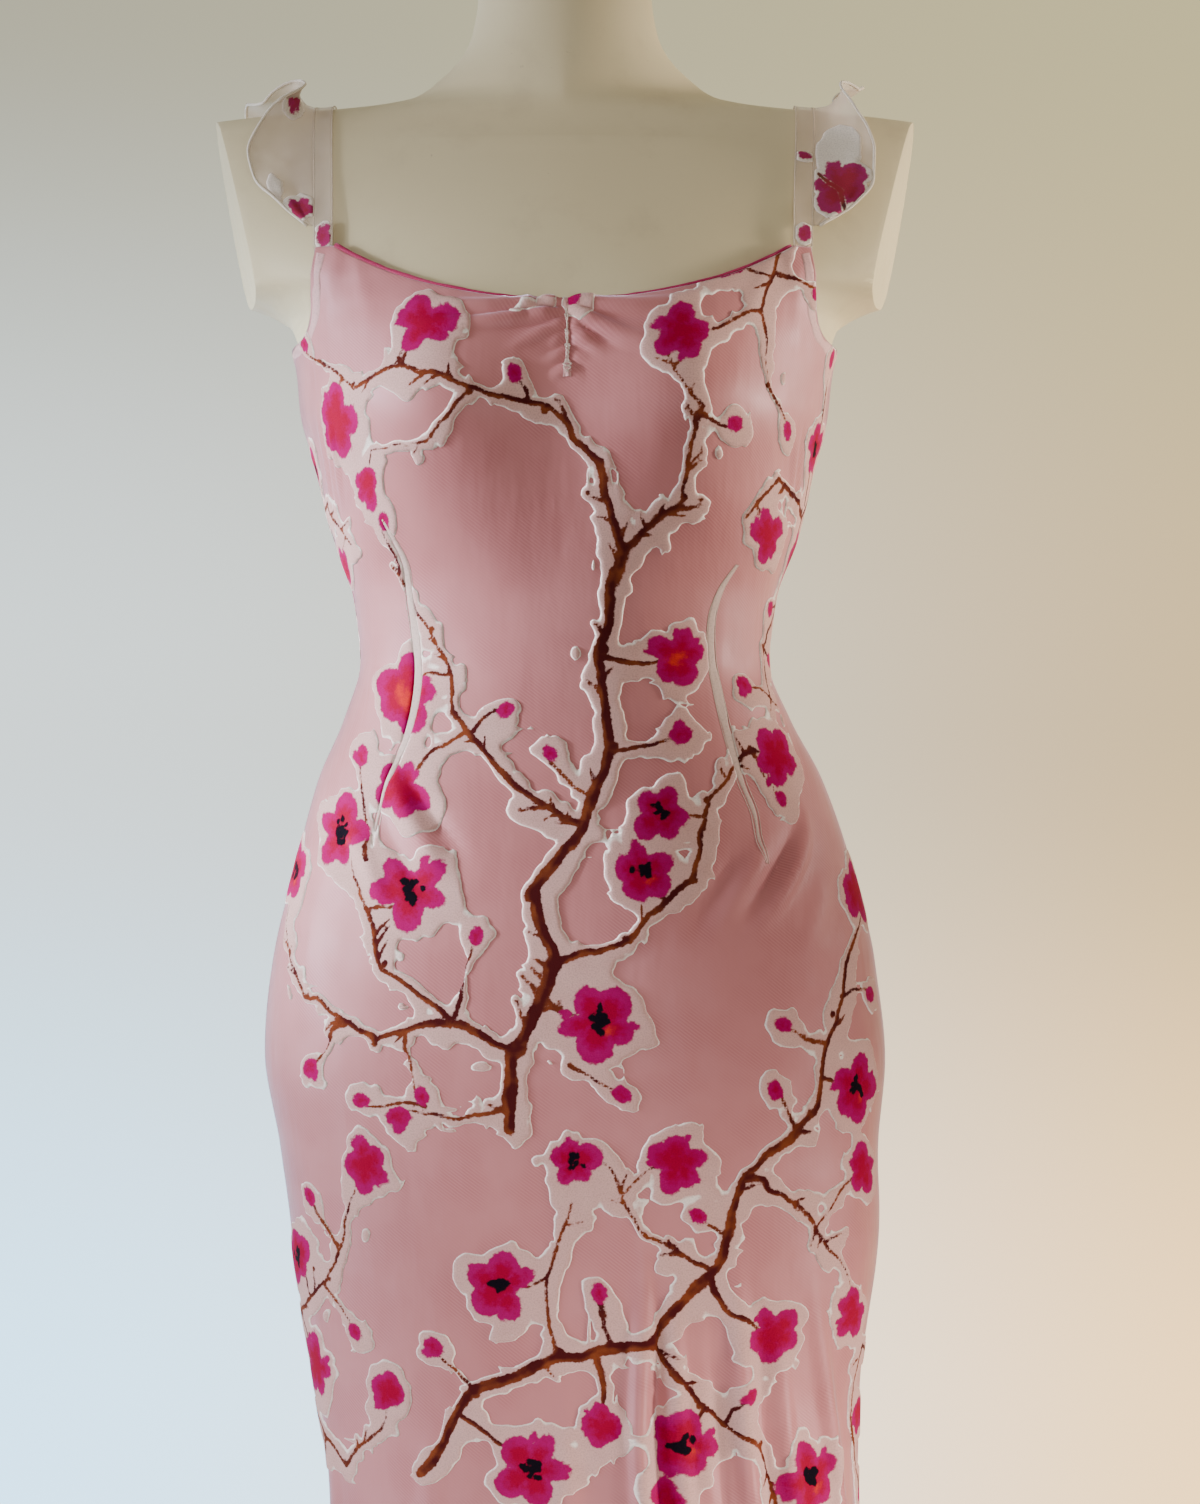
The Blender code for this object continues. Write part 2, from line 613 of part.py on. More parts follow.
def ruffle(hand_name, edge, normal, outward):
    """A half-moon flounce sewn to the strap's outer edge, which lies on the shoulder and curls up in waves."""
    first, last = (round(v * STRAP_STEPS) for v in RUFFLE_SPAN)
    rows = slice(first, last + 1)
    edge, normal, outward = edge[rows], normal[rows], outward[rows]
    table = dict(zip(RUFFLE_COLUMNS, zip(*RUFFLE_SHAPE[hand_name])))
    share = np.linspace(0.0, 1.0, len(edge))
    reach, curl, sway = (monotone(table["share"], table[key], share)[:, None] for key in RUFFLE_COLUMNS[1:])
    ahead = np.gradient(edge, axis=0)
    ahead /= np.linalg.norm(ahead, axis=1, keepdims=True)
    place = edge + outward * RUFFLE_GAP
    rings = [place]
    for j in range(1, RUFFLE_ACROSS + 1):
        angle = np.radians(RUFFLE_LIFT + (curl - RUFFLE_LIFT) * (j - 0.5) / RUFFLE_ACROSS)
        step = reach / RUFFLE_ACROSS
        place = place + outward * step * np.cos(angle) + normal * step * np.sin(angle)
        rings.append(place + ahead * sway * (j / RUFFLE_ACROSS) ** 2)
    middle = np.array(rings)
    along = np.gradient(middle, axis=1)
    over = np.gradient(middle, axis=0)
    thick = np.cross(over, along)
    thick /= np.linalg.norm(thick, axis=2, keepdims=True)
    half = thick * RUFFLE_THICK / 2
    wall("ruffle_" + hand_name, middle - half, middle + half, "sheer_devore")


def base_of_strap(side, hand):
    """The middle of the strap's rest on the panel's upper edge, raised by the seam gap."""
    s = hand * (FRONT_STRAP_S if side == "front" else BACK_STRAP_S)
    z = STRAP_BASE_Z if side == "front" else BACK_STRAP_Z
    point = skin_point(side, s, z)
    return Vector((point[0], point[1], z + SEAM_GAP))


def straps_and_ruffles(form):
    corners = [vertex.co for vertex in form.data.vertices]
    tree = BVHTree.FromPolygons(corners, [tuple(face.vertices) for face in form.data.polygons])
    for hand_name, hand in (("left", -1), ("right", 1)):
        edge, normal, outward = strap(
            tree, hand_name, base_of_strap("front", hand), base_of_strap("back", hand)
        )
        ruffle(hand_name, edge, normal, outward)


def main():
    clear_scene()
    for side in ("front", "back"):
        middle, normal = cloth_panel(side)
        neck_binding(side, middle, normal)
    form = dress_form()
    stand()
    straps_and_ruffles(form)


main()
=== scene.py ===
"""Looks of a slip dress in burnt-out velvet with ruffled straps, worn by a limbless dress form on a stand.

Metres, +Z up. The front faces -Y and the origin is on the floor, under the middle of the stand's base.
A place on a panel is (s, z): s runs round from its middle and z up from the floor. The tables of the print
and of the creases give both in cm.
"""
import math

import bpy
import numpy as np
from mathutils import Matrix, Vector
from mathutils.bvhtree import BVHTree


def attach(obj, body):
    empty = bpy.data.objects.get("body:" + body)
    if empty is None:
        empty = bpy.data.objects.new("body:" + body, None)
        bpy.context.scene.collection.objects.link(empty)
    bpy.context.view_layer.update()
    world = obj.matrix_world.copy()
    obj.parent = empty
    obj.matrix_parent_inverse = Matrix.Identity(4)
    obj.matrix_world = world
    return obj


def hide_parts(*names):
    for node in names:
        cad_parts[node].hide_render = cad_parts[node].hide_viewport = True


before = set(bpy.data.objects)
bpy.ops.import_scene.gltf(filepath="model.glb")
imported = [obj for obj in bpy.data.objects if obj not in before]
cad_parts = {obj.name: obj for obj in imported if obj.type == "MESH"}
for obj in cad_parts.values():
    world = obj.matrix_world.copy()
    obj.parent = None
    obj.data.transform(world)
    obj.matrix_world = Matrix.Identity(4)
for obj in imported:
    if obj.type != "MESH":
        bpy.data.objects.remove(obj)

for unused in ("Cube", "Light", "Camera"):
    if unused in bpy.data.objects:
        bpy.data.objects.remove(bpy.data.objects[unused])
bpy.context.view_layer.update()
MM = 0.001
CM = 0.01

# ---------------------------------------------------------------- sizes, as in the solid model
HEM_Z = 0.340
LINING_HEM_Z = 0.400
UNDERARM_Z = 1.215
NECK_CENTRE_Z = 1.229
STRAP_BASE_Z = 1.2655
BACK_CENTRE_Z = 1.172
BACK_STRAP_Z = 1.204
STRAP_WIDTH = 0.0105
FRONT_STRAP_S = 0.1345
BACK_STRAP_S = 0.1050
STRAP_CREST_X = 0.140
EASE = 0.0028  # how far the form lies inside the dress
SEAM_GAP = 0.0003
FORM_BOTTOM_Z = 0.660
FORM_TOP_Z = 1.460
FORM_SINK = 0.030  # how much farther in it lies at its bottom, under the free skirt
FORM_SINK_TOP_Z = 0.830
TOP_FOLLOW_Z = 0.985  # above it the rows of the cloth bend to follow the upper edge
BASE_RADIUS = 0.170
BASE_THICK = 0.012
POLE_RADIUS = 0.0125
JOINT_GAP = 0.0003

SECTION_COLUMNS = ("z", "half_width", "front", "back", "squareness", "shift")
SECTIONS = (
    (0.3400, 0.1700, 0.1220, 0.1280, 2.1, 0.0180),
    (0.4300, 0.1560, 0.1080, 0.1140, 2.1, 0.0180),
    (0.5430, 0.1503, 0.1010, 0.1070, 2.2, 0.0170),
    (0.6140, 0.1577, 0.1020, 0.1120, 2.2, 0.0130),
    (0.7020, 0.1695, 0.1050, 0.1230, 2.3, 0.0118),
    (0.7550, 0.1730, 0.1080, 0.1330, 2.3, 0.0085),
    (0.8080, 0.1795, 0.1105, 0.1400, 2.3, 0.0060),
    (0.8600, 0.1745, 0.1110, 0.1390, 2.3, 0.0050),
    (0.9140, 0.1615, 0.1080, 0.1250, 2.3, 0.0050),
    (0.9670, 0.1451, 0.1010, 0.1020, 2.3, 0.0030),
    (1.0020, 0.1283, 0.0955, 0.0890, 2.3, 0.0010),
    (1.0370, 0.1171, 0.0930, 0.0835, 2.2, 0.0000),
    (1.0724, 0.1209, 0.0970, 0.0870, 2.2, 0.0000),
    (1.1080, 0.1333, 0.1060, 0.0950, 2.3, 0.0000),
    (1.1430, 0.1418, 0.1160, 0.1020, 2.3, 0.0000),
    (1.1780, 0.1517, 0.1230, 0.1070, 2.4, 0.0000),
    (1.2136, 0.1553, 0.1180, 0.1090, 2.4, 0.0000),
    (1.2313, 0.1605, 0.1110, 0.1100, 2.4, 0.0000),
    (1.2371, 0.1680, 0.1085, 0.1100, 2.3, 0.0000),
    (1.2430, 0.1800, 0.1060, 0.1095, 2.15, 0.0000),
    (1.2500, 0.2000, 0.1030, 0.1090, 2.0, 0.0000),
    (1.2720, 0.2260, 0.0940, 0.1050, 1.85, 0.0000),
    (1.3077, 0.2320, 0.0770, 0.0930, 1.87, 0.0000),
    (1.3312, 0.2320, 0.0640, 0.0750, 1.80, 0.0000),
    (1.3430, 0.2280, 0.0560, 0.0640, 1.72, 0.0000),
    (1.3518, 0.2100, 0.0520, 0.0600, 1.5, 0.0000),
    (1.3548, 0.1880, 0.0515, 0.0600, 1.35, 0.0000),
    (1.3589, 0.1400, 0.0510, 0.0610, 1.3, 0.0000),
    (1.3620, 0.1130, 0.0505, 0.0610, 1.35, 0.0000),
    (1.3665, 0.0905, 0.0500, 0.0610, 1.45, 0.0000),
    (1.3783, 0.0724, 0.0490, 0.0600, 1.7, 0.0000),
    (1.3900, 0.0610, 0.0485, 0.0590, 1.9, 0.0000),
    (1.4018, 0.0550, 0.0480, 0.0580, 2.0, 0.0000),
    (1.4254, 0.0510, 0.0480, 0.0570, 2.0, 0.0000),
    (1.4600, 0.0505, 0.0480, 0.0560, 2.0, 0.0000),
)
BUST = {"z": 1.168, "x": 0.076, "depth": 0.027, "above": 0.062, "below": 0.054, "across": 0.062}
BUST_VALLEY = 0.45
BUST_EASE = 0.0040
STUB_FACE = {"x": 0.1945, "z": 1.3000, "turn": 0.17, "lean": 0.20}
STUB_CUT_ABOVE_Z = 1.215

FOLD_COLUMNS = ("side", "s", "top_z", "depth", "half_width", "lean")
FOLDS = (
    ("front", -0.205, 0.620, 0.0100, 0.021, -0.010),
    ("front", -0.130, 0.560, 0.0085, 0.020, -0.012),
    ("front", -0.050, 0.600, 0.0110, 0.019, -0.008),
    ("front", 0.022, 0.665, 0.0130, 0.017, 0.004),
    ("front", 0.085, 0.650, 0.0120, 0.017, 0.010),
    ("front", 0.150, 0.640, 0.0110, 0.019, 0.014),
    ("front", 0.218, 0.560, 0.0080, 0.020, 0.010),
    ("back", -0.200, 0.600, 0.0095, 0.021, -0.010),
    ("back", -0.120, 0.640, 0.0120, 0.019, -0.010),
    ("back", -0.045, 0.580, 0.0100, 0.020, -0.004),
    ("back", 0.040, 0.650, 0.0125, 0.018, 0.004),
    ("back", 0.118, 0.570, 0.0095, 0.020, 0.010),
    ("back", 0.196, 0.620, 0.0100, 0.021, 0.010),
)
FOLD_REST_WIDTH = 0.24  # half the width that the folds' places are given for

# ---------------------------------------------------------------- sizes of the cloth itself
CLOTH_THICK = 0.6 * MM
LINING_THICK = 0.4 * MM
OUTER_MIDDLE = 1.8 * MM  # from the skin to the middle of the outer cloth
LINING_MIDDLE = 0.5 * MM
PILE_HEIGHT = 1.0 * MM
PILE_ROUNDING = 1.6  # mm over which the pile's edge rounds down
PILE_EDGE = 0.22  # of its height, where it is cut off
PILE_ROOT = 0.35 * MM  # how far its edge reaches down into the cloth
COLUMN_STEP = 3.2 * MM  # between the points of the cloth
ROW_STEP = 4.8 * MM  # between its rows on the hips and the skirt
GATHER_STEP = 1.6 * MM  # closer, round the gathered middle of the front neckline
GATHER_REACH = 56 * MM
TURNING_REACH = 24 * MM  # outside each strap, where the columns stand closer for the armhole's turning
LEVEL_STEP = 0.003  # between the rings of the skin, which go up this far above the straps' bases:
LEVELS_ABOVE = 0.008
SKIN_COLUMNS = 180  # on each side of a ring's middle

# How a crease rises from its first place and falls to its last, as shares of its length; None stays full.
CREASE_FADES = {"both": (0.45, 0.45), "down": (0.3, None), "away": (None, 0.7)}
# Creases of a panel: height in mm (a trough is below 0), half width in mm, how its ends fade, and places.
CREASES = {
    "front": (
        (-0.5, 4.0, "both", ((-10.6, 111.3), (-9.2, 109.6), (-8.6, 104.5), (-8.3, 102.1), (-9.9, 97.7),
                             (-11.4, 92.9))),
        (-0.5, 4.0, "both", ((10.3, 108.9), (8.7, 106.0), (8.7, 103.0), (9.4, 98.9), (10.5, 94.9),
                             (11.0, 92.1))),
        (-3.6, 4.4, "both", ((13.7, 95.0), (12.6, 92.9), (11.5, 91.4), (10.3, 89.9), (9.0, 88.6))),
        (5.6, 4.2, "both", ((14.5, 96.0), (14.0, 93.6), (12.8, 91.6), (11.4, 89.8), (9.4, 87.6))),
        (3.2, 4.8, "both", ((11.8, 94.4), (10.4, 92.0), (9.0, 90.2), (7.8, 88.2))),
        (-3.0, 4.8, "both", ((9.8, 93.8), (8.6, 91.6), (7.2, 89.4), (6.2, 87.6))),
        (1.8, 8.0, "both", ((16.6, 93.0), (14.6, 89.4), (12.6, 85.6))),
        (-2.6, 4.8, "both", ((-9.8, 98.6), (-9.0, 96.8), (-7.7, 94.9), (-6.4, 93.0), (-5.0, 91.0))),
        (3.8, 4.6, "both", ((-10.6, 97.8), (-9.5, 95.4), (-8.1, 93.2), (-6.6, 90.8))),
        (-2.4, 4.8, "both", ((-11.6, 96.2), (-10.4, 93.8), (-8.9, 91.4), (-7.4, 89.2))),
        (3.0, 5.5, "both", ((-13.4, 95.2), (-11.8, 92.4), (-10.2, 89.2))),
        (1.5, 4.5, "both", ((-13.6, 103.0), (-10.8, 102.2), (-8.9, 102.6))),
        (1.6, 4.8, "both", ((14.2, 101.6), (11.6, 101.2), (9.4, 101.8))),
        (1.3, 14.0, "both", ((-6.2, 106.6), (0.0, 105.2), (6.4, 106.2))),
        (1.9, 2.8, "both", ((-17.0, 118.6), (-16.7, 115.0), (-16.1, 110.4))),
        (1.6, 2.5, "both", ((-16.1, 118.0), (-15.8, 114.6), (-15.3, 111.2))),
        (1.7, 2.6, "both", ((-15.2, 117.4), (-15.0, 114.4), (-14.7, 111.8))),
        (1.6, 2.8, "both", ((16.8, 117.8), (16.5, 114.4), (15.8, 110.0))),
        (1.3, 2.5, "both", ((15.8, 117.0), (15.5, 114.0), (15.0, 111.4))),
        (0.9, 5.0, "away", ((-12.8, 126.0), (-13.8, 123.0), (-15.4, 119.6))),
        (0.8, 4.5, "away", ((-11.6, 125.6), (-11.0, 122.4), (-11.4, 119.0))),
        (0.9, 5.0, "away", ((12.9, 126.0), (13.9, 122.8), (15.2, 119.0))),
        (0.8, 4.5, "away", ((11.6, 125.4), (10.6, 122.4), (10.4, 119.4))),
        (3.4, 2.8, "away", ((-0.1, 122.8), (-3.0, 122.5), (-6.5, 122.5), (-10.5, 122.9))),
        (-1.2, 2.2, "away", ((-0.1, 122.5), (-3.0, 122.1), (-6.0, 121.9), (-9.0, 122.0))),
        (3.2, 2.8, "away", ((-0.1, 122.2), (-2.6, 121.8), (-5.4, 121.4), (-8.6, 121.2))),
        (-1.1, 2.4, "away", ((-0.1, 121.8), (-2.2, 121.3), (-4.6, 120.7))),
        (2.2, 2.6, "away", ((0.0, 121.4), (-1.6, 120.7), (-3.4, 119.9))),
        (3.2, 2.8, "away", ((0.7, 122.8), (3.2, 122.5), (5.8, 122.7), (8.8, 123.5))),
        (-1.2, 2.4, "away", ((0.7, 122.5), (2.6, 121.9), (4.8, 121.7), (7.2, 122.0))),
        (3.6, 3.0, "away", ((0.7, 122.2), (2.0, 121.4), (3.8, 120.7), (6.4, 120.5))),
        (-1.3, 2.6, "away", ((0.7, 121.8), (1.7, 120.9), (3.1, 120.0), (4.8, 119.6))),
        (2.2, 2.8, "away", ((0.6, 121.4), (1.5, 120.4), (2.6, 119.4))),
        (5.6, 4.6, "down", ((3.2, 73.0), (3.1, 66.0), (2.8, 60.0), (2.6, 34.0))),
        (-3.0, 4.2, "down", ((4.0, 71.2), (3.9, 62.5), (3.8, 57.3), (3.8, 34.0))),
        (4.8, 4.4, "down", ((4.9, 71.0), (5.0, 62.0), (5.1, 56.9), (5.4, 34.0))),
        (-2.8, 5.0, "down", ((7.0, 70.0), (7.2, 62.0), (7.4, 34.0))),
        (5.8, 5.0, "down", ((8.2, 72.5), (8.6, 66.0), (8.9, 56.5), (9.6, 34.0))),
        (-2.6, 4.4, "down", ((9.6, 70.0), (10.0, 62.0), (10.4, 34.0))),
        (4.4, 4.6, "down", ((10.8, 69.0), (11.4, 60.0), (12.2, 34.0))),
        (5.2, 5.6, "down", ((12.6, 71.0), (14.2, 63.0), (15.6, 54.0), (16.8, 34.0))),
        (2.4, 7.0, "down", ((-1.0, 65.0), (-1.4, 54.0), (-1.8, 34.0))),
        (2.6, 7.0, "down", ((-8.6, 62.0), (-9.4, 52.0), (-10.4, 34.0))),
        (2.6, 8.0, "down", ((-16.6, 64.0), (-17.4, 54.0), (-18.6, 34.0))),
        (2.2, 7.0, "down", ((19.2, 64.0), (20.2, 50.0), (20.8, 34.0))),
    ),
    "back": (
        (-0.5, 4.0, "both", ((-8.6, 110.4), (-8.2, 106.0), (-8.0, 102.0), (-8.6, 96.0), (-9.2, 91.6))),
        (-0.5, 4.0, "both", ((8.6, 110.4), (8.2, 106.0), (8.0, 102.0), (8.6, 96.0), (9.2, 91.6))),
        (1.9, 7.5, "both", ((-15.0, 105.4), (-9.6, 103.6), (-3.4, 104.4), (0.4, 103.6))),
        (1.7, 7.0, "both", ((15.4, 103.8), (9.0, 102.2), (3.8, 102.8), (-1.2, 101.8))),
        (1.6, 7.0, "both", ((-12.8, 101.2), (-7.2, 100.0), (-1.8, 100.4))),
        (1.4, 8.0, "both", ((12.6, 108.8), (7.4, 107.2), (1.0, 107.6))),
        (1.5, 9.0, "both", ((-13.6, 93.4), (-11.2, 90.0), (-10.4, 86.6))),
        (1.5, 9.0, "both", ((13.0, 94.2), (11.4, 90.8), (10.8, 87.0))),
        (1.4, 12.0, "both", ((-7.0, 78.6), (0.0, 76.6), (6.6, 78.0))),
        (0.8, 4.5, "away", ((-10.3, 120.0), (-11.0, 117.0), (-12.4, 113.6))),
        (0.8, 4.5, "away", ((10.4, 120.0), (11.2, 116.8), (12.2, 113.8))),
        (2.2, 7.0, "down", ((-15.2, 66.0), (-16.0, 56.0), (-17.0, 34.0))),
        (2.4, 7.0, "down", ((-8.4, 67.0), (-8.8, 56.0), (-9.4, 34.0))),
        (2.2, 7.0, "down", ((-0.2, 66.0), (0.0, 56.0), (0.4, 34.0))),
        (2.4, 7.0, "down", ((7.6, 68.0), (8.0, 58.0), (8.4, 34.0))),
        (2.2, 7.0, "down", ((15.2, 66.0), (16.0, 56.0), (16.6, 34.0))),
    ),
}
GATHER_S = 0.3  # cm: the line of gathering stitches at the middle of the front neckline
GATHER_TOP, GATHER_LOW = 122.8, 118.7
GATHER_RIDGE = 1.1  # mm: how far the drawn cloth stands up under the stitches
GATHER_PUCKERS = 9  # on each side of it
# Slow unevenness of the cloth: height and size in mm, and the noise's seed.
UNEVENNESS = ((0.35, 70.0, 51), (0.2, 31.0, 52))
NECK_EVEN_Z, NECK_UNEVEN_Z = 1262.0, 1225.0  # mm: the front's grows from none to full between them
# Small crumples beside the gather, all in mm.
CRUMPLE = {"s": -12.0, "z": 1223.0, "half_width": 16.0, "half_height": 6.0, "height": 2.0, "size": 4.4}
BACK_DART = ((8.6, 110.6), (8.3, 107.0), (8.0, 103.4), (8.1, 100.0), (8.6, 96.0), (9.1, 93.0), (9.2, 91.4))
DARTS = {
    "front": (
        ((-10.6, 111.3), (-9.9, 110.3), (-9.2, 109.0), (-9.0, 107.2), (-8.6, 104.5), (-8.4, 102.1),
         (-9.0, 99.3), (-9.9, 97.4), (-10.7, 95.6), (-11.2, 94.1), (-11.4, 92.9)),
        ((10.3, 108.9), (9.3, 107.6), (8.7, 106.2), (8.6, 104.1), (8.9, 101.7), (9.4, 98.9), (9.9, 96.5),
         (10.5, 94.9), (10.7, 93.3), (11.0, 92.1)),
    ),
    "back": (tuple((-s, z) for s, z in BACK_DART), BACK_DART),
}
DART_WIDTHS = (1.4, 4.2, 5.8, 6.4, 5.9, 4.4, 2.2, 1.0)  # mm, from a dart's top end to its foot
DART_LINE = 0.34  # cm from a dart's middle to the stitches along it, where they are farthest


# ---------------------------------------------------------------- small tools
def smoothstep(low, high, value):
    """From 0 to 1 as a value goes from low to high, level at both ends."""
    t = np.clip((np.asarray(value, float) - low) / (high - low), 0.0, 1.0)
    return t * t * (3 - 2 * t)


def monotone(xs, ys, at):
    """A smooth curve through the points (xs, ys) that never overshoots them, read at `at`."""
    xs, ys = np.asarray(xs, float), np.asarray(ys, float)
    steps = np.diff(xs)
    slopes = np.diff(ys) / steps
    tangents = np.zeros(len(xs))
    rising = slopes[:-1] * slopes[1:] > 0
    before, after = slopes[:-1][rising], slopes[1:][rising]
    left, right = (2 * steps[1:] + steps[:-1])[rising], (steps[1:] + 2 * steps[:-1])[rising]
    tangents[1:-1][rising] = (left + right) / (left / before + right / after)
    tangents[0], tangents[-1] = slopes[0], slopes[-1]
    at = np.clip(at, xs[0], xs[-1])
    i = np.clip(np.searchsorted(xs, at) - 1, 0, len(steps) - 1)
    h = steps[i]
    t = (at - xs[i]) / h
    return (
        (1 + 2 * t) * (1 - t) ** 2 * ys[i]
        + t * (1 - t) ** 2 * h * tangents[i]
        + t * t * (3 - 2 * t) * ys[i + 1]
        + t * t * (t - 1) * h * tangents[i + 1]
    )


def unit(vectors):
    """Each vector made one long."""
    return vectors / np.maximum(np.linalg.norm(vectors, axis=-1, keepdims=True), 1e-12)


def read_between(grid, row, column):
    """Reads a grid between its points. Row and column are fractions of a step."""
    i = np.clip(np.floor(row).astype(int), 0, grid.shape[0] - 2)
    j = np.clip(np.floor(column).astype(int), 0, grid.shape[1] - 2)
    a, b = row - i, column - j
    if grid.ndim == 3:
        a, b = a[..., None], b[..., None]
    low = grid[i, j] * (1 - b) + grid[i, j + 1] * b
    high = grid[i + 1, j] * (1 - b) + grid[i + 1, j + 1] * b
    return low * (1 - a) + high * a


def soft_noise(x, y, size, seed):
    """Smooth noise from about -1 to 1, with features of this size."""
    table = np.random.RandomState(seed).uniform(-1.0, 1.0, (256, 256))
    u, v = x / size + 37.3, y / size + 11.9
    i, j = np.floor(u).astype(int), np.floor(v).astype(int)
    a, b = u - i, v - j
    a, b = a * a * a * (a * (6 * a - 15) + 10), b * b * b * (b * (6 * b - 15) + 10)
    i, j = i % 255, j % 255
    low = table[i, j] * (1 - a) + table[i + 1, j] * a
    high = table[i, j + 1] * (1 - a) + table[i + 1, j + 1] * a
    return (low * (1 - b) + high * b) * 1.35


def in_steps(*spans):
    """Places on a line of spans (from, to, step) that follow one another, each in a whole number of steps."""
    places = [np.linspace(low, high, round((high - low) / step) + 1) for low, high, step in spans]
    return np.concatenate(places[:1] + [part[1:] for part in places[1:]])


def lengths_along(points):
    """The length of a line of points from its first to each of them."""
    return np.concatenate([[0.0], np.cumsum(np.linalg.norm(np.diff(points, axis=0), axis=1))])


def along_line(points, step):
    """A smooth line through points, sampled about every `step`."""
    points = np.asarray(points, float)
    length = lengths_along(points)
    count = max(int(round(length[-1] / step)), 2)
    at = np.linspace(0.0, length[-1], count + 1)
    tangents = np.gradient(points, length, axis=0)
    i = np.clip(np.searchsorted(length, at) - 1, 0, len(points) - 2)
    h = (length[i + 1] - length[i])[:, None]
    t = ((at - length[i])[:, None]) / h
    return (
        (1 + 2 * t) * (1 - t) ** 2 * points[i]
        + t * (1 - t) ** 2 * h * tangents[i]
        + t * t * (3 - 2 * t) * points[i + 1]
        + t * t * (t - 1) * h * tangents[i + 1]
    )


# ---------------------------------------------------------------- the skin that the cloth lies on
def section(column, z):
    """One measure of the skin's outline at height z."""
    heights = [row[0] for row in SECTIONS]
    values = [row[SECTION_COLUMNS.index(column)] for row in SECTIONS]
    return monotone(heights, values, z)


def form_inset(z):
    """How far inside the sections the dress form lies: the ease, and more where the skirt hangs free."""
    under_dress = EASE * (1 - smoothstep(1.190, 1.235, z))
    free = FORM_SINK * (1 - smoothstep(FORM_BOTTOM_Z, FORM_SINK_TOP_Z, z))
    return under_dress + free


def cloth_lift(z):
    """How far the cloth stands off the sections at height z."""
    return float(EASE * smoothstep(1.190, 1.235, z))


def bust_depth(x, z, depth):
    """How far the bust stands out in front."""
    height = np.where(z > BUST["z"], BUST["above"], BUST["below"])
    up_down = np.exp(-(((z - BUST["z"]) / height) ** 2))
    outside = np.exp(-(((np.abs(x) - BUST["x"]) / BUST["across"]) ** 2))
    inside = BUST_VALLEY + (1 - BUST_VALLEY) * smoothstep(0.0, BUST["x"], np.abs(x))
    return depth * up_down * np.where(np.abs(x) > BUST["x"], outside, inside)


def skin_ring(z, angle, grow, bust=BUST["depth"]):
    """X and Y of the skin at height z. The angle is 0 at +X, pi / 2 at the back and -pi / 2 at the front."""
    half_width = section("half_width", z) + grow
    power = 2 / section("squareness", z)
    along, across = np.cos(angle), np.sin(angle)
    x = half_width * np.sign(along) * np.abs(along) ** power
    depth = np.where(across < 0, section("front", z), section("back", z)) + grow
    y = depth * np.sign(across) * np.abs(across) ** power
    y = y - np.where(across < 0, bust_depth(x, z, bust) * np.abs(across) ** 0.5, 0.0)
    return x + section("shift", z), y


RING_STEPS = 240  # along the skin from a side seam to the middle


def half_ring(side, z, grow):
    """Half the skin at height z, from the left seam to the right: X, Y and arc length from its middle."""
    turn = -1 if side == "front" else 1
    angle = turn * np.linspace(math.pi, 0.0, 2 * RING_STEPS + 1)
    x, y = skin_ring(z, angle, grow)
    steps = np.hypot(np.diff(x), np.diff(y))
    length = np.concatenate([[0.0], np.cumsum(steps)])
    return x, y, length - length[RING_STEPS]


def top_edge(side, s, side_s):
    """Height of a panel's upper edge: the neckline, a level rest for the strap, and the armhole."""
    s = np.abs(s)
    strap_s = FRONT_STRAP_S if side == "front" else BACK_STRAP_S
    inner, outer = strap_s - STRAP_WIDTH / 2, strap_s + STRAP_WIDTH / 2
    share = np.clip((s - outer) / (side_s - outer), 0.0, 1.0)
    if side == "front":
        neckline = NECK_CENTRE_Z + (STRAP_BASE_Z - NECK_CENTRE_Z) * np.minimum(s / inner, 1.0) ** 2.2
        armhole = UNDERARM_Z + (STRAP_BASE_Z - UNDERARM_Z) * (1 - share) ** 7
        rest = STRAP_BASE_Z
    else:
        neckline = BACK_CENTRE_Z + (BACK_STRAP_Z - BACK_CENTRE_Z) * np.minimum(s / inner, 1.0) ** 2.0
        armhole = BACK_STRAP_Z + (UNDERARM_Z - BACK_STRAP_Z) * smoothstep(0.0, 1.0, share)
        rest = BACK_STRAP_Z
    return np.where(s <= inner, neckline, np.where(s <= outer, rest, armhole))


def fold_rise(side, share, z):
    """How far the skirt's folds push the cloth out."""
    rise = np.zeros(np.broadcast(share, z).shape)
    for row in FOLDS:
        fold = dict(zip(FOLD_COLUMNS, row))
        if fold["side"] == side:
            down = smoothstep(0.0, 1.0, (fold["top_z"] - z) / (fold["top_z"] - HEM_Z))
            middle = fold["s"] + fold["lean"] * down
            away = (share * FOLD_REST_WIDTH - middle) / fold["half_width"]
            rise += fold["depth"] * down * np.exp(-(away**2))
    return rise


def nearest_on_line(s, z, places):
    """How far (s, z), in mm, is from a line of places in cm, and the share of the line's length there."""
    line = along_line(np.array(places) * 10.0, 6.0)
    best, share = np.full(s.shape, 1e9), np.zeros(s.shape)
    for k, (a, b) in enumerate(zip(line, line[1:])):
        d = b - a
        t = np.clip(((s - a[0]) * d[0] + (z - a[1]) * d[1]) / (d @ d), 0.0, 1.0)
        away = np.hypot(s - a[0] - t * d[0], z - a[1] - t * d[1])
        nearer = away < best
        best = np.where(nearer, away, best)
        share = np.where(nearer, (k + t) / (len(line) - 1), share)
    return best, share


def crease(s, z, height, half_width, fade, places):
    """One soft crease along a line of places: how far it lifts the cloth at (s, z), all in mm."""
    best, share = nearest_on_line(s, z, places)
    lift = height * np.exp(-((best / half_width) ** 2))
    for end, fading in zip((share, 1 - share), CREASE_FADES[fade]):
        if fading:
            lift = lift * smoothstep(0.0, fading, end)
    return lift


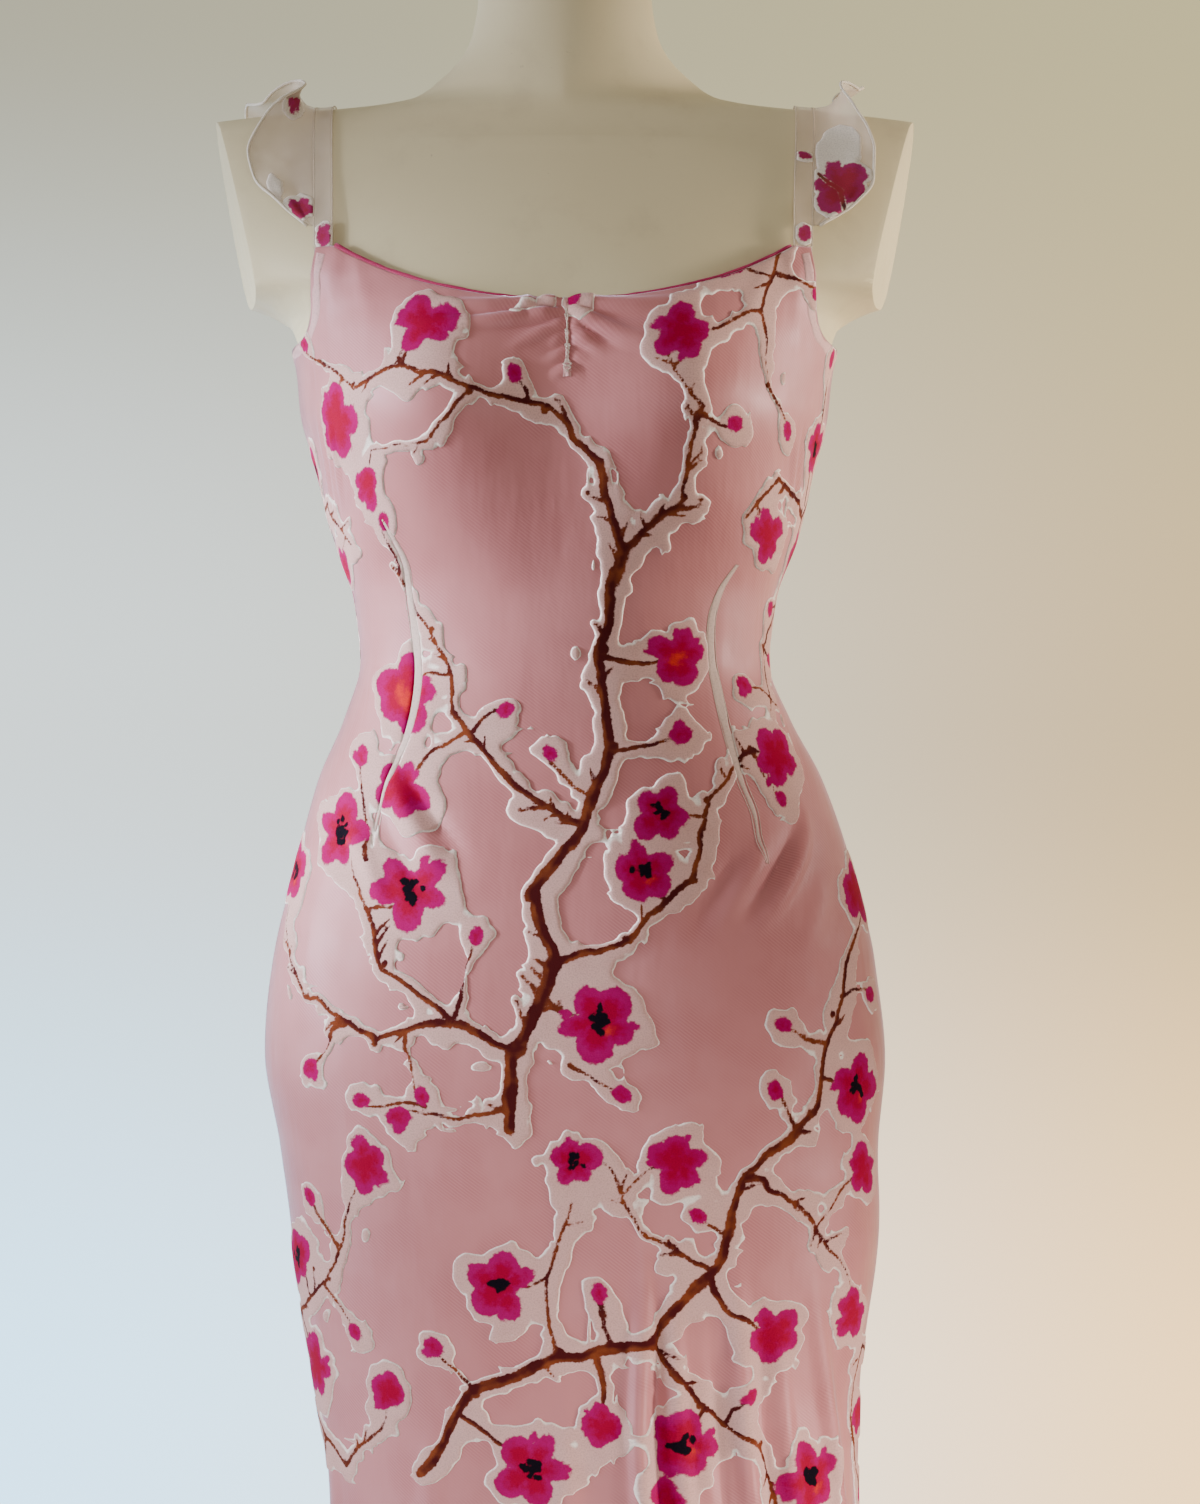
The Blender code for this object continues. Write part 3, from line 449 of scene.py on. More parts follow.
def gather_creases():
    """Puckers that fan out to both sides of the gathering stitches, troughs between ridges."""
    pick = np.random.RandomState(31)
    trough = ((GATHER_S, GATHER_TOP + 0.6), (GATHER_S, 121.0), (GATHER_S, GATHER_LOW - 0.4))
    fan = [(-1.6, 3.0, "both", trough)]
    for hand in (-1, 1):
        for k in range(GATHER_PUCKERS):
            down = k / (GATHER_PUCKERS - 1)
            z = GATHER_TOP - 0.1 + (GATHER_LOW + 0.3 - GATHER_TOP) * down
            reach = pick.uniform(0.75, 1.05) * (2.2 - 0.7 * down)
            end_z = z + reach * (0.10 - 0.52 * down) + pick.uniform(-0.2, 0.2)
            bow = pick.uniform(0.10, 0.26) * (1 - 0.5 * down)
            middle = (GATHER_S + hand * reach * 0.5, (z + end_z) / 2 - bow)
            places = ((GATHER_S + hand * 0.15, z), middle, (GATHER_S + hand * reach, end_z))
            height = pick.uniform(0.8, 1.4) if k % 2 == 0 else -pick.uniform(0.6, 1.0)
            fan.append((height, pick.uniform(1.7, 2.3), "away", places))
    return fan


def creases_on(side, s, z):
    """All the creases of a panel and its slow unevenness, in metres, at s and z in metres."""
    s, z = s / MM, z / MM
    lift = sum(height * soft_noise(s, z, size, seed) for height, size, seed in UNEVENNESS)
    rows = list(CREASES[side])
    if side == "front":
        lift *= smoothstep(NECK_EVEN_Z, NECK_UNEVEN_Z, z)
        aside, up = (s - CRUMPLE["s"]) / CRUMPLE["half_width"], (z - CRUMPLE["z"]) / CRUMPLE["half_height"]
        near = np.exp(-(aside**2) - up**2)
        lift += CRUMPLE["height"] * near * soft_noise(s, z, CRUMPLE["size"], 53)
        rows += gather_creases()
    for row in rows:
        lift += crease(s, z, *row)
    return lift * MM


# ---------------------------------------------------------------- a panel's cloth
def panel_columns(side, side_s):
    """The panel's columns, as shares of its half width, with lines on both edges of each strap."""
    strap_s = FRONT_STRAP_S if side == "front" else BACK_STRAP_S
    inner, outer = strap_s - STRAP_WIDTH / 2, strap_s + STRAP_WIDTH / 2
    half = in_steps(
        (0.0, GATHER_REACH, GATHER_STEP if side == "front" else COLUMN_STEP),
        (GATHER_REACH, inner, COLUMN_STEP),
        (inner, outer, STRAP_WIDTH / 4),
        (outer, outer + TURNING_REACH, TURNING_REACH / 10),
        (outer + TURNING_REACH, side_s, COLUMN_STEP),
    )
    return np.concatenate([-half[:0:-1], half]) / side_s


class Panel:
    """One side of the dress: its skin, upper edge and a fine grid of points with their outward directions."""

    def __init__(self, side):
        self.side = side
        self.facing = 1 if side == "front" else -1
        self.levels = np.arange(HEM_Z - LEVEL_STEP, STRAP_BASE_Z + LEVELS_ABOVE, LEVEL_STEP)
        across = np.linspace(-1.0, 1.0, 2 * SKIN_COLUMNS + 1)
        skin, halves = [], []
        for z in self.levels:
            x, y, length = half_ring(side, z, cloth_lift(z))
            half = length[-1] if z <= UNDERARM_Z else half_ring(side, UNDERARM_Z, cloth_lift(z))[2][-1]
            s = across * (half - SEAM_GAP / 2)
            ring = [np.interp(s, length, x), np.interp(s, length, y), np.full(len(s), z)]
            skin.append(np.stack(ring, axis=1))
            halves.append(half)
        self.skin, self.halves = np.array(skin), np.array(halves)
        self.side_s = half_ring(side, UNDERARM_Z, cloth_lift(UNDERARM_Z))[2][-1]
        self.shares = panel_columns(side, self.side_s)
        fine_z = NECK_CENTRE_Z - GATHER_REACH
        self.rows = in_steps(
            (HEM_Z, TOP_FOLLOW_Z, ROW_STEP),
            (TOP_FOLLOW_Z, fine_z, COLUMN_STEP),
            (fine_z, NECK_CENTRE_Z, GATHER_STEP if side == "front" else COLUMN_STEP),
        )
        share, row = np.meshgrid(self.shares, self.rows)
        z = np.where(row > TOP_FOLLOW_Z, TOP_FOLLOW_Z + (row - TOP_FOLLOW_Z) * self.stretch(share), row)
        self.s, self.z = share * self.half(z), z
        base = self.on_skin(share, z)
        outward = base - np.stack([section("shift", z), np.zeros(z.shape), z], axis=-1)
        base = base + unit(outward) * fold_rise(side, share, z)[..., None]
        normal = self.normals(base)
        self.lift = creases_on(side, self.s, self.z)
        self.base = base + normal * self.lift[..., None]
        self.normal = self.normals(self.base)

    def half(self, z):
        """Half the panel's width along the skin."""
        return np.interp(z, self.levels, self.halves)

    def stretch(self, share):
        """How much farther apart the upper rows stand here than in the middle, to follow the upper edge."""
        top = top_edge(self.side, share * self.side_s, self.side_s)
        return (top - TOP_FOLLOW_Z) / (NECK_CENTRE_Z - TOP_FOLLOW_Z)

    def on_skin(self, share, z):
        row = (z - self.levels[0]) / LEVEL_STEP
        return read_between(self.skin, row, (share + 1) * SKIN_COLUMNS)

    def normals(self, grid):
        """Outward directions, level at the upper edge and the hem, and straight sideways at the seams."""
        up, along = np.gradient(grid, axis=0), np.gradient(grid, axis=1)
        normal = np.cross(along, up) * self.facing
        normal[[0, -1], :, 2] = 0.0
        normal[:, [0, -1], 1] = 0.0
        return unit(normal)

    def find(self, s, z):
        """Row and column, as fractions, of a place on the panel."""
        share = s / self.half(z)
        row = np.where(z > TOP_FOLLOW_Z, TOP_FOLLOW_Z + (z - TOP_FOLLOW_Z) / self.stretch(share), z)
        rows = np.interp(row, self.rows, np.arange(len(self.rows)))
        return rows, np.interp(share, self.shares, np.arange(len(self.shares)))

    def on_cloth(self, s, z, height):
        """A point that stands `height` off the outer cloth's face."""
        row, column = self.find(s, z)
        point, normal = read_between(self.base, row, column), read_between(self.normal, row, column)
        return point + unit(normal) * (OUTER_MIDDLE + CLOTH_THICK / 2 + height)[..., None]

    def room(self, s, z):
        """How far inside the panel's edges a place is."""
        share = np.clip(s / self.half(z), -1.0, 1.0)
        top = top_edge(self.side, share * self.side_s, self.side_s)
        columns = self.shares * self.side_s
        slope = np.gradient(top_edge(self.side, columns, self.side_s), columns)
        steep = np.interp(share, self.shares, slope)
        room = np.minimum((top - z) / np.sqrt(1 + steep**2), z - HEM_Z)
        return np.minimum(room, self.half(z) - np.abs(s))


# ---------------------------------------------------------------- meshes
def piece_mesh(name, points, faces, material, values=None):
    """A mesh object at the origin that rides on the body, with named values on its points."""
    mesh = bpy.data.meshes.new(name)
    faces = faces.tolist() if isinstance(faces, np.ndarray) else faces
    mesh.from_pydata(np.asarray(points, float).tolist(), [], faces)
    for title, data in (values or {}).items():
        data = np.asarray(data, np.float32)
        kind = "FLOAT" if data.ndim == 1 else "FLOAT_VECTOR"
        made = mesh.attributes.new(title, kind, "POINT")
        made.data.foreach_set("value" if data.ndim == 1 else "vector", data.ravel())
    mesh.shade_smooth()
    mesh.materials.append(material)
    obj = bpy.data.objects.new(name, mesh)
    bpy.context.scene.collection.objects.link(obj)
    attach(obj, "root")
    return obj


def grid_faces(rows, columns, around=False, turned=False):
    """Four-cornered faces of a grid of points; `around` joins its last column to its first."""
    i, j = np.meshgrid(np.arange(rows - 1), np.arange(columns if around else columns - 1), indexing="ij")
    i, j = i.ravel(), j.ravel()
    k = (j + 1) % columns
    a, b, c, d = i * columns + j, i * columns + k, (i + 1) * columns + k, (i + 1) * columns + j
    return np.stack([a, d, c, b] if turned else [a, b, c, d], axis=1)


def flat_places(s, z):
    """Places on the flat cloth, for patterns that follow it."""
    return np.stack([s, z, np.zeros(np.shape(s))], axis=-1)


def select_only(obj):
    """Selects this object and no other."""
    bpy.ops.object.select_all(action="DESELECT")
    obj.select_set(True)
    bpy.context.view_layer.objects.active = obj


def apply_modifiers(obj):
    """Works an object's modifiers into its mesh."""
    select_only(obj)
    for modifier in list(obj.modifiers):
        bpy.ops.object.modifier_apply(modifier=modifier.name)
    obj.select_set(False)


def round_edges(obj, width, segments, sharp, smooth):
    """Rounds the edges that are sharper than an angle and shades the others smooth up to one; in degrees."""
    edges = obj.modifiers.new("rounding", "BEVEL")
    edges.width, edges.segments = width, segments
    edges.limit_method, edges.angle_limit = "ANGLE", math.radians(sharp)
    apply_modifiers(obj)
    obj.select_set(True)
    bpy.ops.object.shade_smooth_by_angle(angle=math.radians(smooth))
    obj.select_set(False)


def thicken(obj, thick):
    """Gives a sheet its thickness, the same to both sides."""
    wall = obj.modifiers.new("thickness", "SOLIDIFY")
    wall.thickness = thick
    wall.offset = 0.0
    apply_modifiers(obj)
    return obj


def tube_points(line, radii, sides):
    """Rings of points round a line."""
    line = np.asarray(line, float)
    ahead = unit(np.gradient(line, axis=0))
    turn = np.linspace(0.0, 2 * math.pi, sides, endpoint=False)
    along, aside = np.cos(turn)[:, None], np.sin(turn)[:, None]
    guide = np.array([0.0, 0.0, 1.0]) if abs(ahead[0][2]) < 0.9 else np.array([1.0, 0.0, 0.0])
    rings = []
    for place, forward, radius in zip(line, ahead, np.broadcast_to(radii, len(line))):
        guide = guide - forward * (guide @ forward)
        guide /= np.linalg.norm(guide)
        other = np.cross(forward, guide)
        rings.append(place + radius * (along * guide + aside * other))
    return np.array(rings)


def tube(name, line, radii, material, sides=8, places=None):
    """A round cord along a line, closed at its ends."""
    rings = tube_points(line, radii, sides)
    count = len(rings)
    points = np.concatenate([rings.reshape(-1, 3), [line[0], line[-1]]])
    faces = grid_faces(count, sides, around=True).tolist()
    last = (count - 1) * sides
    faces += [(count * sides, (k + 1) % sides, k) for k in range(sides)]
    faces += [(count * sides + 1, last + k, last + (k + 1) % sides) for k in range(sides)]
    values = None
    if places is not None:
        wide = np.repeat(np.asarray(places, float), sides, axis=0)
        values = {"cut": np.concatenate([wide, places[:1], places[-1:]])}
    return piece_mesh(name, points, faces, material, values)


# ---------------------------------------------------------------- the printed branches
# Limbs: their radii in mm at root and tip, which LIMB_SCALE then makes thinner, and points (s, z) in cm.
LIMBS = (
    (5.6, 4.6, ((-3.5, 77.5), (-3.0, 82.0), (-1.2, 86.5), (-2.2, 90.5), (0.8, 94.0))),
    (4.8, 3.0, ((0.8, 94.0), (2.6, 98.5), (2.2, 104.0), (3.4, 109.5), (2.0, 114.0))),
    (2.8, 1.5, ((2.0, 114.0), (-1.0, 116.8), (-5.0, 117.6), (-8.8, 119.4), (-12.4, 118.4), (-15.2, 119.6))),
    (1.7, 0.9, ((-5.0, 117.6), (-7.4, 115.2), (-11.0, 115.0))),
    (2.6, 1.3, ((3.4, 109.5), (6.6, 112.4), (7.4, 116.6), (5.8, 119.6))),
    (3.2, 1.3, ((0.8, 94.0), (-3.2, 96.6), (-6.2, 100.4), (-7.4, 105.2), (-10.2, 108.8))),
    (3.4, 1.6, ((-3.0, 82.0), (-6.8, 83.4), (-10.4, 86.6), (-12.6, 91.2))),
    (2.8, 1.2, ((-6.8, 83.4), (-11.0, 82.2), (-15.6, 84.6), (-18.4, 88.6))),
    (3.2, 1.6, ((-1.2, 86.5), (3.0, 88.0), (6.6, 91.2), (7.6, 95.6), (10.6, 98.4))),
    (4.6, 4.0, ((-9.5, 58.5), (-6.2, 63.0), (-1.4, 65.2), (3.6, 65.8), (7.0, 69.6))),
    (3.8, 2.0, ((7.0, 69.6), (9.4, 74.8), (13.6, 78.2), (15.2, 83.6), (17.6, 87.6))),
    (2.8, 1.4, ((3.6, 65.8), (6.2, 62.2), (9.6, 59.8), (11.2, 55.0), (14.0, 51.5))),
    (2.2, 1.1, ((-1.4, 65.2), (-2.2, 69.4), (-0.6, 73.4))),
    (2.2, 1.1, ((7.0, 69.6), (3.4, 71.8), (1.4, 75.4))),
    (2.2, 1.1, ((9.4, 74.8), (12.8, 72.6), (15.4, 69.0))),
    (2.4, 1.2, ((-22.5, 63.5), (-19.0, 66.0), (-15.2, 68.6), (-13.2, 73.0))),
    (2.4, 1.2, ((-22.5, 58.5), (-19.0, 60.0), (-15.0, 58.0), (-11.8, 60.4))),
    (3.4, 1.6, ((-16.0, 47.0), (-11.5, 50.5), (-7.4, 49.0), (-3.6, 52.6), (0.5, 51.5), (3.0, 55.0))),
    (3.0, 1.4, ((4.0, 35.0), (6.0, 40.0), (10.5, 43.4), (12.0, 47.4))),
    (2.8, 1.3, ((-12.4, 33.0), (-9.0, 39.0), (-10.0, 43.6))),
    (3.0, 1.6, ((23.0, 114.4), (17.6, 112.2), (13.6, 113.6), (10.6, 111.6))),
    (2.2, 1.1, ((17.6, 112.2), (16.2, 107.0), (13.4, 104.4), (13.0, 100.2))),
    (2.4, 1.3, ((12.6, 126.5), (11.0, 122.4), (8.0, 121.2))),
    (1.8, 0.9, ((11.0, 122.4), (12.4, 118.4))),
    (2.2, 1.1, ((-22.5, 111.4), (-17.0, 112.6), (-13.6, 110.2))),
    (2.2, 1.1, ((22.5, 62.5), (18.4, 64.0), (17.0, 60.4))),
    (2.4, 1.2, ((23.0, 44.0), (18.6, 46.0), (16.2, 42.6))),
)
# Open and half-open blossoms: (s, z) in cm, radius in mm before BLOSSOM_SCALE, kind, turn in degrees.
BLOSSOMS = (
    (-7.4, 121.4, 15, "plain", 20), (-14.2, 116.8, 17, "plain", 75), (-11.6, 113.4, 13, "plain", 140),
    (6.4, 120.9, 14, "plain", 10), (9.4, 125.2, 12, "plain", 60), (12.6, 110.6, 14, "plain", 35),
    (18.6, 115.8, 14, "eye", 20), (17.8, 109.6, 15, "eye", 100), (12.6, 97.9, 16, "plain", 50),
    (-9.2, 101.6, 21, "glow", 12), (-9.4, 96.2, 14, "plain", 200), (6.4, 103.6, 16, "glow", 80),
    (3.9, 91.7, 15, "eye", 30), (5.0, 94.9, 14, "eye", 65), (1.5, 83.6, 18, "eye", 40),
    (-13.6, 93.8, 18, "eye", 5), (-9.0, 90.6, 19, "eye", 50), (-18.8, 91.4, 17, "eye", 90),
    (18.8, 90.2, 16, "plain", 15), (16.8, 79.4, 17, "eye", 70), (17.4, 74.6, 14, "plain", 10),
    (5.4, 75.8, 14, "plain", 95), (-0.2, 75.9, 14, "eye", 25), (-4.6, 69.0, 17, "eye", 10),
    (10.6, 66.0, 14, "plain", 120), (5.2, 60.2, 18, "eye", 0), (1.2, 61.2, 13, "plain", 80),
    (12.8, 57.4, 19, "eye", 35), (-3.2, 58.8, 18, "eye", 60), (16.4, 66.4, 14, "plain", 10),
    (-12.0, 75.4, 14, "plain", 35), (-18.6, 69.4, 16, "eye", 100), (-17.4, 63.2, 17, "plain", 10),
    (-11.0, 62.6, 13, "plain", 70), (-13.2, 52.6, 18, "eye", 45), (-5.6, 46.4, 17, "eye", 15),
    (4.4, 57.0, 12, "plain", 65), (-0.6, 48.6, 15, "plain", 130), (15.4, 49.6, 17, "eye", 0),
    (8.2, 46.6, 15, "glow", 55), (13.4, 40.2, 17, "eye", 25), (-8.2, 41.2, 16, "eye", 85),
    (-13.6, 44.4, 14, "plain", 10), (1.8, 39.4, 14, "plain", 40), (18.6, 60.2, 13, "plain", 160),
    (-18.4, 50.2, 14, "plain", 70), (19.6, 42.4, 14, "eye", 20), (-18.6, 38.4, 15, "eye", 5),
    (-15.6, 108.8, 12, "plain", 20), (-19.8, 114.6, 13, "eye", 55),
)
# Buds on their own twigs: (s, z) of the bud and of the twig's foot in cm, and the bud's size in mm.
BUDS = (
    (-3.2, 100.6, -5.2, 99.2, 10), (6.4, 99.2, 2.6, 98.4, 13), (-0.9, 98.2, 1.2, 96.0, 9),
    (10.9, 102.0, 13.2, 101.0, 12), (14.8, 103.6, 13.4, 104.4, 10), (14.4, 106.6, 16.2, 107.0, 11),
    (12.4, 95.6, 10.6, 98.2, 9), (-12.2, 98.0, -11.4, 92.0, 12),
    (-5.2, 88.2, -6.8, 83.6, 10), (-15.4, 80.6, -13.0, 83.2, 12), (-8.4, 79.4, -9.2, 82.6, 10),
    (2.6, 79.6, -0.4, 81.4, 11), (-9.8, 78.2, -3.4, 78.6, 14), (-12.0, 79.0, -8.0, 78.6, 10),
    (11.2, 79.6, 12.2, 77.2, 11), (11.8, 83.2, 14.8, 82.0, 10), (19.0, 84.4, 15.6, 84.6, 11),
    (6.4, 72.8, 7.8, 71.6, 10), (0.8, 68.6, 1.4, 65.6, 11), (9.0, 62.6, 7.8, 61.2, 9),
    (-8.4, 65.4, -6.0, 63.0, 12), (-16.4, 73.2, -14.4, 70.4, 11), (-13.4, 65.8, -15.6, 68.4, 10),
    (-8.6, 53.4, -8.0, 49.4, 11), (2.4, 53.8, 1.6, 52.2, 9), (8.8, 51.8, 11.4, 54.4, 10),
    (7.4, 38.6, 6.2, 40.6, 10), (-5.4, 38.2, -9.0, 38.6, 12),
    (0.7, 122.8, 0.5, 122.6, 8), (-2.6, 118.6, -2.2, 117.2, 10), (9.6, 116.2, 7.3, 116.2, 10),
    (15.0, 124.0, 12.0, 124.6, 9), (14.2, 116.2, 12.2, 118.6, 10), (19.2, 120.8, 18.2, 113.0, 11),
    (-17.2, 121.4, -15.0, 119.6, 11), (-10.4, 111.2, -9.6, 108.2, 10), (19.8, 54.8, 17.0, 60.2, 11),
    (-20.6, 56.2, -19.0, 60.0, 11), (-0.6, 44.2, -3.2, 43.0, 12), (16.0, 44.6, 16.4, 43.0, 9),
)
# Scraps of velvet that the gather crumples: (s, z) in cm, half length and half width in mm, turn.
GATHER_SCRAPS = (
    (-0.9, 122.5, 6.2, 3.4, 0.1), (-1.8, 122.4, 6.0, 3.2, -0.2), (-2.5, 122.1, 4.2, 2.4, 0.5),
    (1.2, 122.6, 3.6, 2.0, 0.4),
)
BLOSSOM_SCALE = 1.22
LIMB_SCALE = 0.70
SMALL_BLOSSOM = 13.5  # mm: one of a smaller radius is half open and shows three of its five petals
EYE_DOTS, GLOW_DABS = 15, 3  # in the heart of a blossom of that kind
LONG_BUD = 11  # mm: one that is longer has begun to open
TWIG_REACH = 75.0  # mm: a blossom farther than this from every limb gets no twig
SPURS = 110  # short thorns and stubs along the limbs
SPUR_RADIUS, LONG_SPUR = 1.7, 13  # mm; a longer one ends in a knob
CHIPS = 22  # small islands of plain velvet beside the branches
LIMB_MARGIN, PETAL_MARGIN, LEAST_MARGIN = 3.2, 2.9, 1.2  # mm of velvet left round what is printed
TENDRIL = 2.6  # mm that thin ridges of it stand out here and there
WEB_REACH = 5.0  # mm: how far the velvet fills in the forks
OUTLINE_SHIFT = 1.7  # mm: the velvet round a limb stands out more below it and on its right
FAR_OUTSIDE = -60.0  # mm: the distance from anything printed, where nothing is
# How the print lies on each panel: mirrored or not, how far up in mm, the step in mm of the grid that the
# velvet is cut out on, and the seed of its random draws.
PRINT_LAYOUT = {
    "front": {"flip": 1, "rise": 0.0, "step": 1.5, "seed": 5},
    "back": {"flip": -1, "rise": -28.0, "step": 1.7, "seed": 9},
}


def smooth_max(a, b, blend):
    """The larger of two fields, which meet in a curve this wide."""
    h = np.clip(0.5 + 0.5 * (a - b) / blend, 0.0, 1.0)
    return b * (1 - h) + a * h + blend * h * (1 - h)


class Print:
    """Distances on a flat grid, in mm and positive inside, of what is printed and of the velvet's outline."""

    def __init__(self, half_width, low, high, step):
        self.s = np.arange(-half_width, half_width + step, step)
        self.z = np.arange(low, high + step, step)
        self.S, self.Z = np.meshgrid(self.s, self.z)
        self.wx = self.wandering(self.S, 1)
        self.wz = self.wandering(self.Z, 3)
        for title in ("bark", "twig", "petal", "heart", "eye", "glow", "chip"):
            setattr(self, title, np.full(self.S.shape, FAR_OUTSIDE))

    def wandering(self, straight, seed):
        """The grid's places, pushed about a little so that a limb between two points isn't straight."""
        broad, fine = soft_noise(self.S, self.Z, 27.0, seed), soft_noise(self.S, self.Z, 9.0, seed + 1)
        return straight + 2.6 * broad + 0.9 * fine

    def window(self, points, margin):
        """The part of the grid within a margin of some points."""
        points = np.array(points)
        low, high = points.min(axis=0) - margin, points.max(axis=0) + margin
        i0, i1 = np.searchsorted(self.z, (low[1], high[1]))
        j0, j1 = np.searchsorted(self.s, (low[0], high[0]))
        return slice(i0, i1), slice(j0, j1)

    def stroke(self, field, a, b, ra, rb, margin=24.0):
        """A tapering stroke from a to b."""
        where = self.window((a, b), margin)
        x, y = self.wx[where], self.wz[where]
        ax, ay = a
        dx, dy = b[0] - ax, b[1] - ay
        t = np.clip(((x - ax) * dx + (y - ay) * dy) / max(dx * dx + dy * dy, 1e-9), 0.0, 1.0)
        away = np.hypot(x - ax - t * dx, y - ay - t * dy)
        field[where] = np.maximum(field[where], ra + (rb - ra) * t - away)

    def dab(self, field, centre, along, across, turn, margin=16.0):
        """An oval dab of dye."""
        where = self.window((centre,), margin + max(along, across))
        x, y = self.S[where] - centre[0], self.Z[where] - centre[1]
        u = x * math.cos(turn) + y * math.sin(turn)
        v = -x * math.sin(turn) + y * math.cos(turn)
        reach = np.hypot(u / along, v / across)
        inside = (1 - reach) * min(along, across)
        field[where] = np.maximum(field[where], inside)


def between(a, b, share):
    """The place at this share of the way from a to b."""
    return (a[0] + (b[0] - a[0]) * share, a[1] + (b[1] - a[1]) * share)


def toward(point, heading, far):
    """The place this far from a point in a heading."""
    return (point[0] + math.cos(heading) * far, point[1] + math.sin(heading) * far)


def heading_of(a, b):
    """The direction from a to b, as an angle."""
    return math.atan2(b[1] - a[1], b[0] - a[0])


def draw_print(half_width, low, high, flip, rise, step, seed):
    """All the printed limbs, blossoms and buds of one panel. flip mirrors them and rise moves them up."""
    made = Print(half_width, low, high, step)
    pick = np.random.RandomState(seed)

    def place(s, z):
        return (flip * s * 10.0, z * 10.0 + rise)

    segments = []
    for root, tip, points in LIMBS:
        points = [place(*p) for p in points]
        lengths = lengths_along(points)
        radii = LIMB_SCALE * (root + (tip - root) * lengths / lengths[-1])
        for a, b, ra, rb in zip(points, points[1:], radii, radii[1:]):
            made.stroke(made.bark, a, b, ra, rb)
            segments.append((a, b, ra, rb))
        for p, r in zip(points[1:-1], radii[1:-1]):  # a knot where it bends
            knot = (p[0] + pick.uniform(-1, 1), p[1])
            made.dab(made.bark, knot, r * pick.uniform(1.3, 1.75), r * 1.25, pick.uniform(0, 3))
    for _ in range(SPURS):
        a, b, ra, _ = segments[pick.randint(len(segments))]
        foot = between(a, b, pick.uniform(0.1, 0.9))
        heading = heading_of(a, b) + pick.choice((-1, 1)) * pick.uniform(0.5, 1.15)
        reach = pick.uniform(4.5, 12.0) + ra
        end = toward(foot, heading, reach)
        made.stroke(made.bark, foot, end, min(ra, SPUR_RADIUS), 0.5)
        if reach > LONG_SPUR:
            made.dab(made.bark, end, 1.6, 1.2, heading)
    for s, z, radius, _, _ in BLOSSOMS:
        join_to_limb(made, place(s, z), radius, segments, pick)
    for s, z, radius, kind, turn in BLOSSOMS:
        blossom(made, place(s, z), radius, kind, flip * math.radians(turn), pick)
    for s, z, foot_s, foot_z, size in BUDS:
        bud(made, place(s, z), place(foot_s, foot_z), size, pick)
    for s, z, along, across, turn in GATHER_SCRAPS:
        made.dab(made.chip, place(s, z), along, across, turn)
    for _ in range(CHIPS):
        a, b, ra, _ = segments[pick.randint(len(segments))]
        beside, side = between(a, b, pick.uniform(0, 1)), pick.choice((-1, 1))
        heading = heading_of(a, b)
        centre = toward(beside, heading + side * math.pi / 2, ra + pick.uniform(10.0, 17.0))
        along, across = pick.uniform(3.0, 6.5), pick.uniform(1.6, 2.8)
        made.dab(made.chip, centre, along, across, heading + pick.uniform(-0.5, 0.5))
    return made


def join_to_limb(made, centre, radius, segments, pick):
    """A twig from the nearest limb to a blossom that stands off it."""
    nearest = None
    for a, b, ra, rb in segments:
        d = np.subtract(b, a)
        t = float(np.clip(np.dot(np.subtract(centre, a), d) / (d @ d), 0.0, 1.0))
        foot = between(a, b, t)
        away = math.dist(foot, centre)
        if nearest is None or away < nearest[0]:
            nearest = (away, foot, ra + (rb - ra) * t)
    away, foot, limb_radius = nearest
    if radius * 0.6 < away < TWIG_REACH:
        sway = pick.uniform(-0.16, 0.16)
        bend = (
            (centre[0] + foot[0]) / 2 - sway * (centre[1] - foot[1]),
            (centre[1] + foot[1]) / 2 + sway * (centre[0] - foot[0]),
        )
        root = min(limb_radius * 0.8, 1.0 + away * 0.02)
        made.stroke(made.bark, foot, bend, root, root * 0.85)
        made.stroke(made.bark, bend, centre, root * 0.85, 1.1)


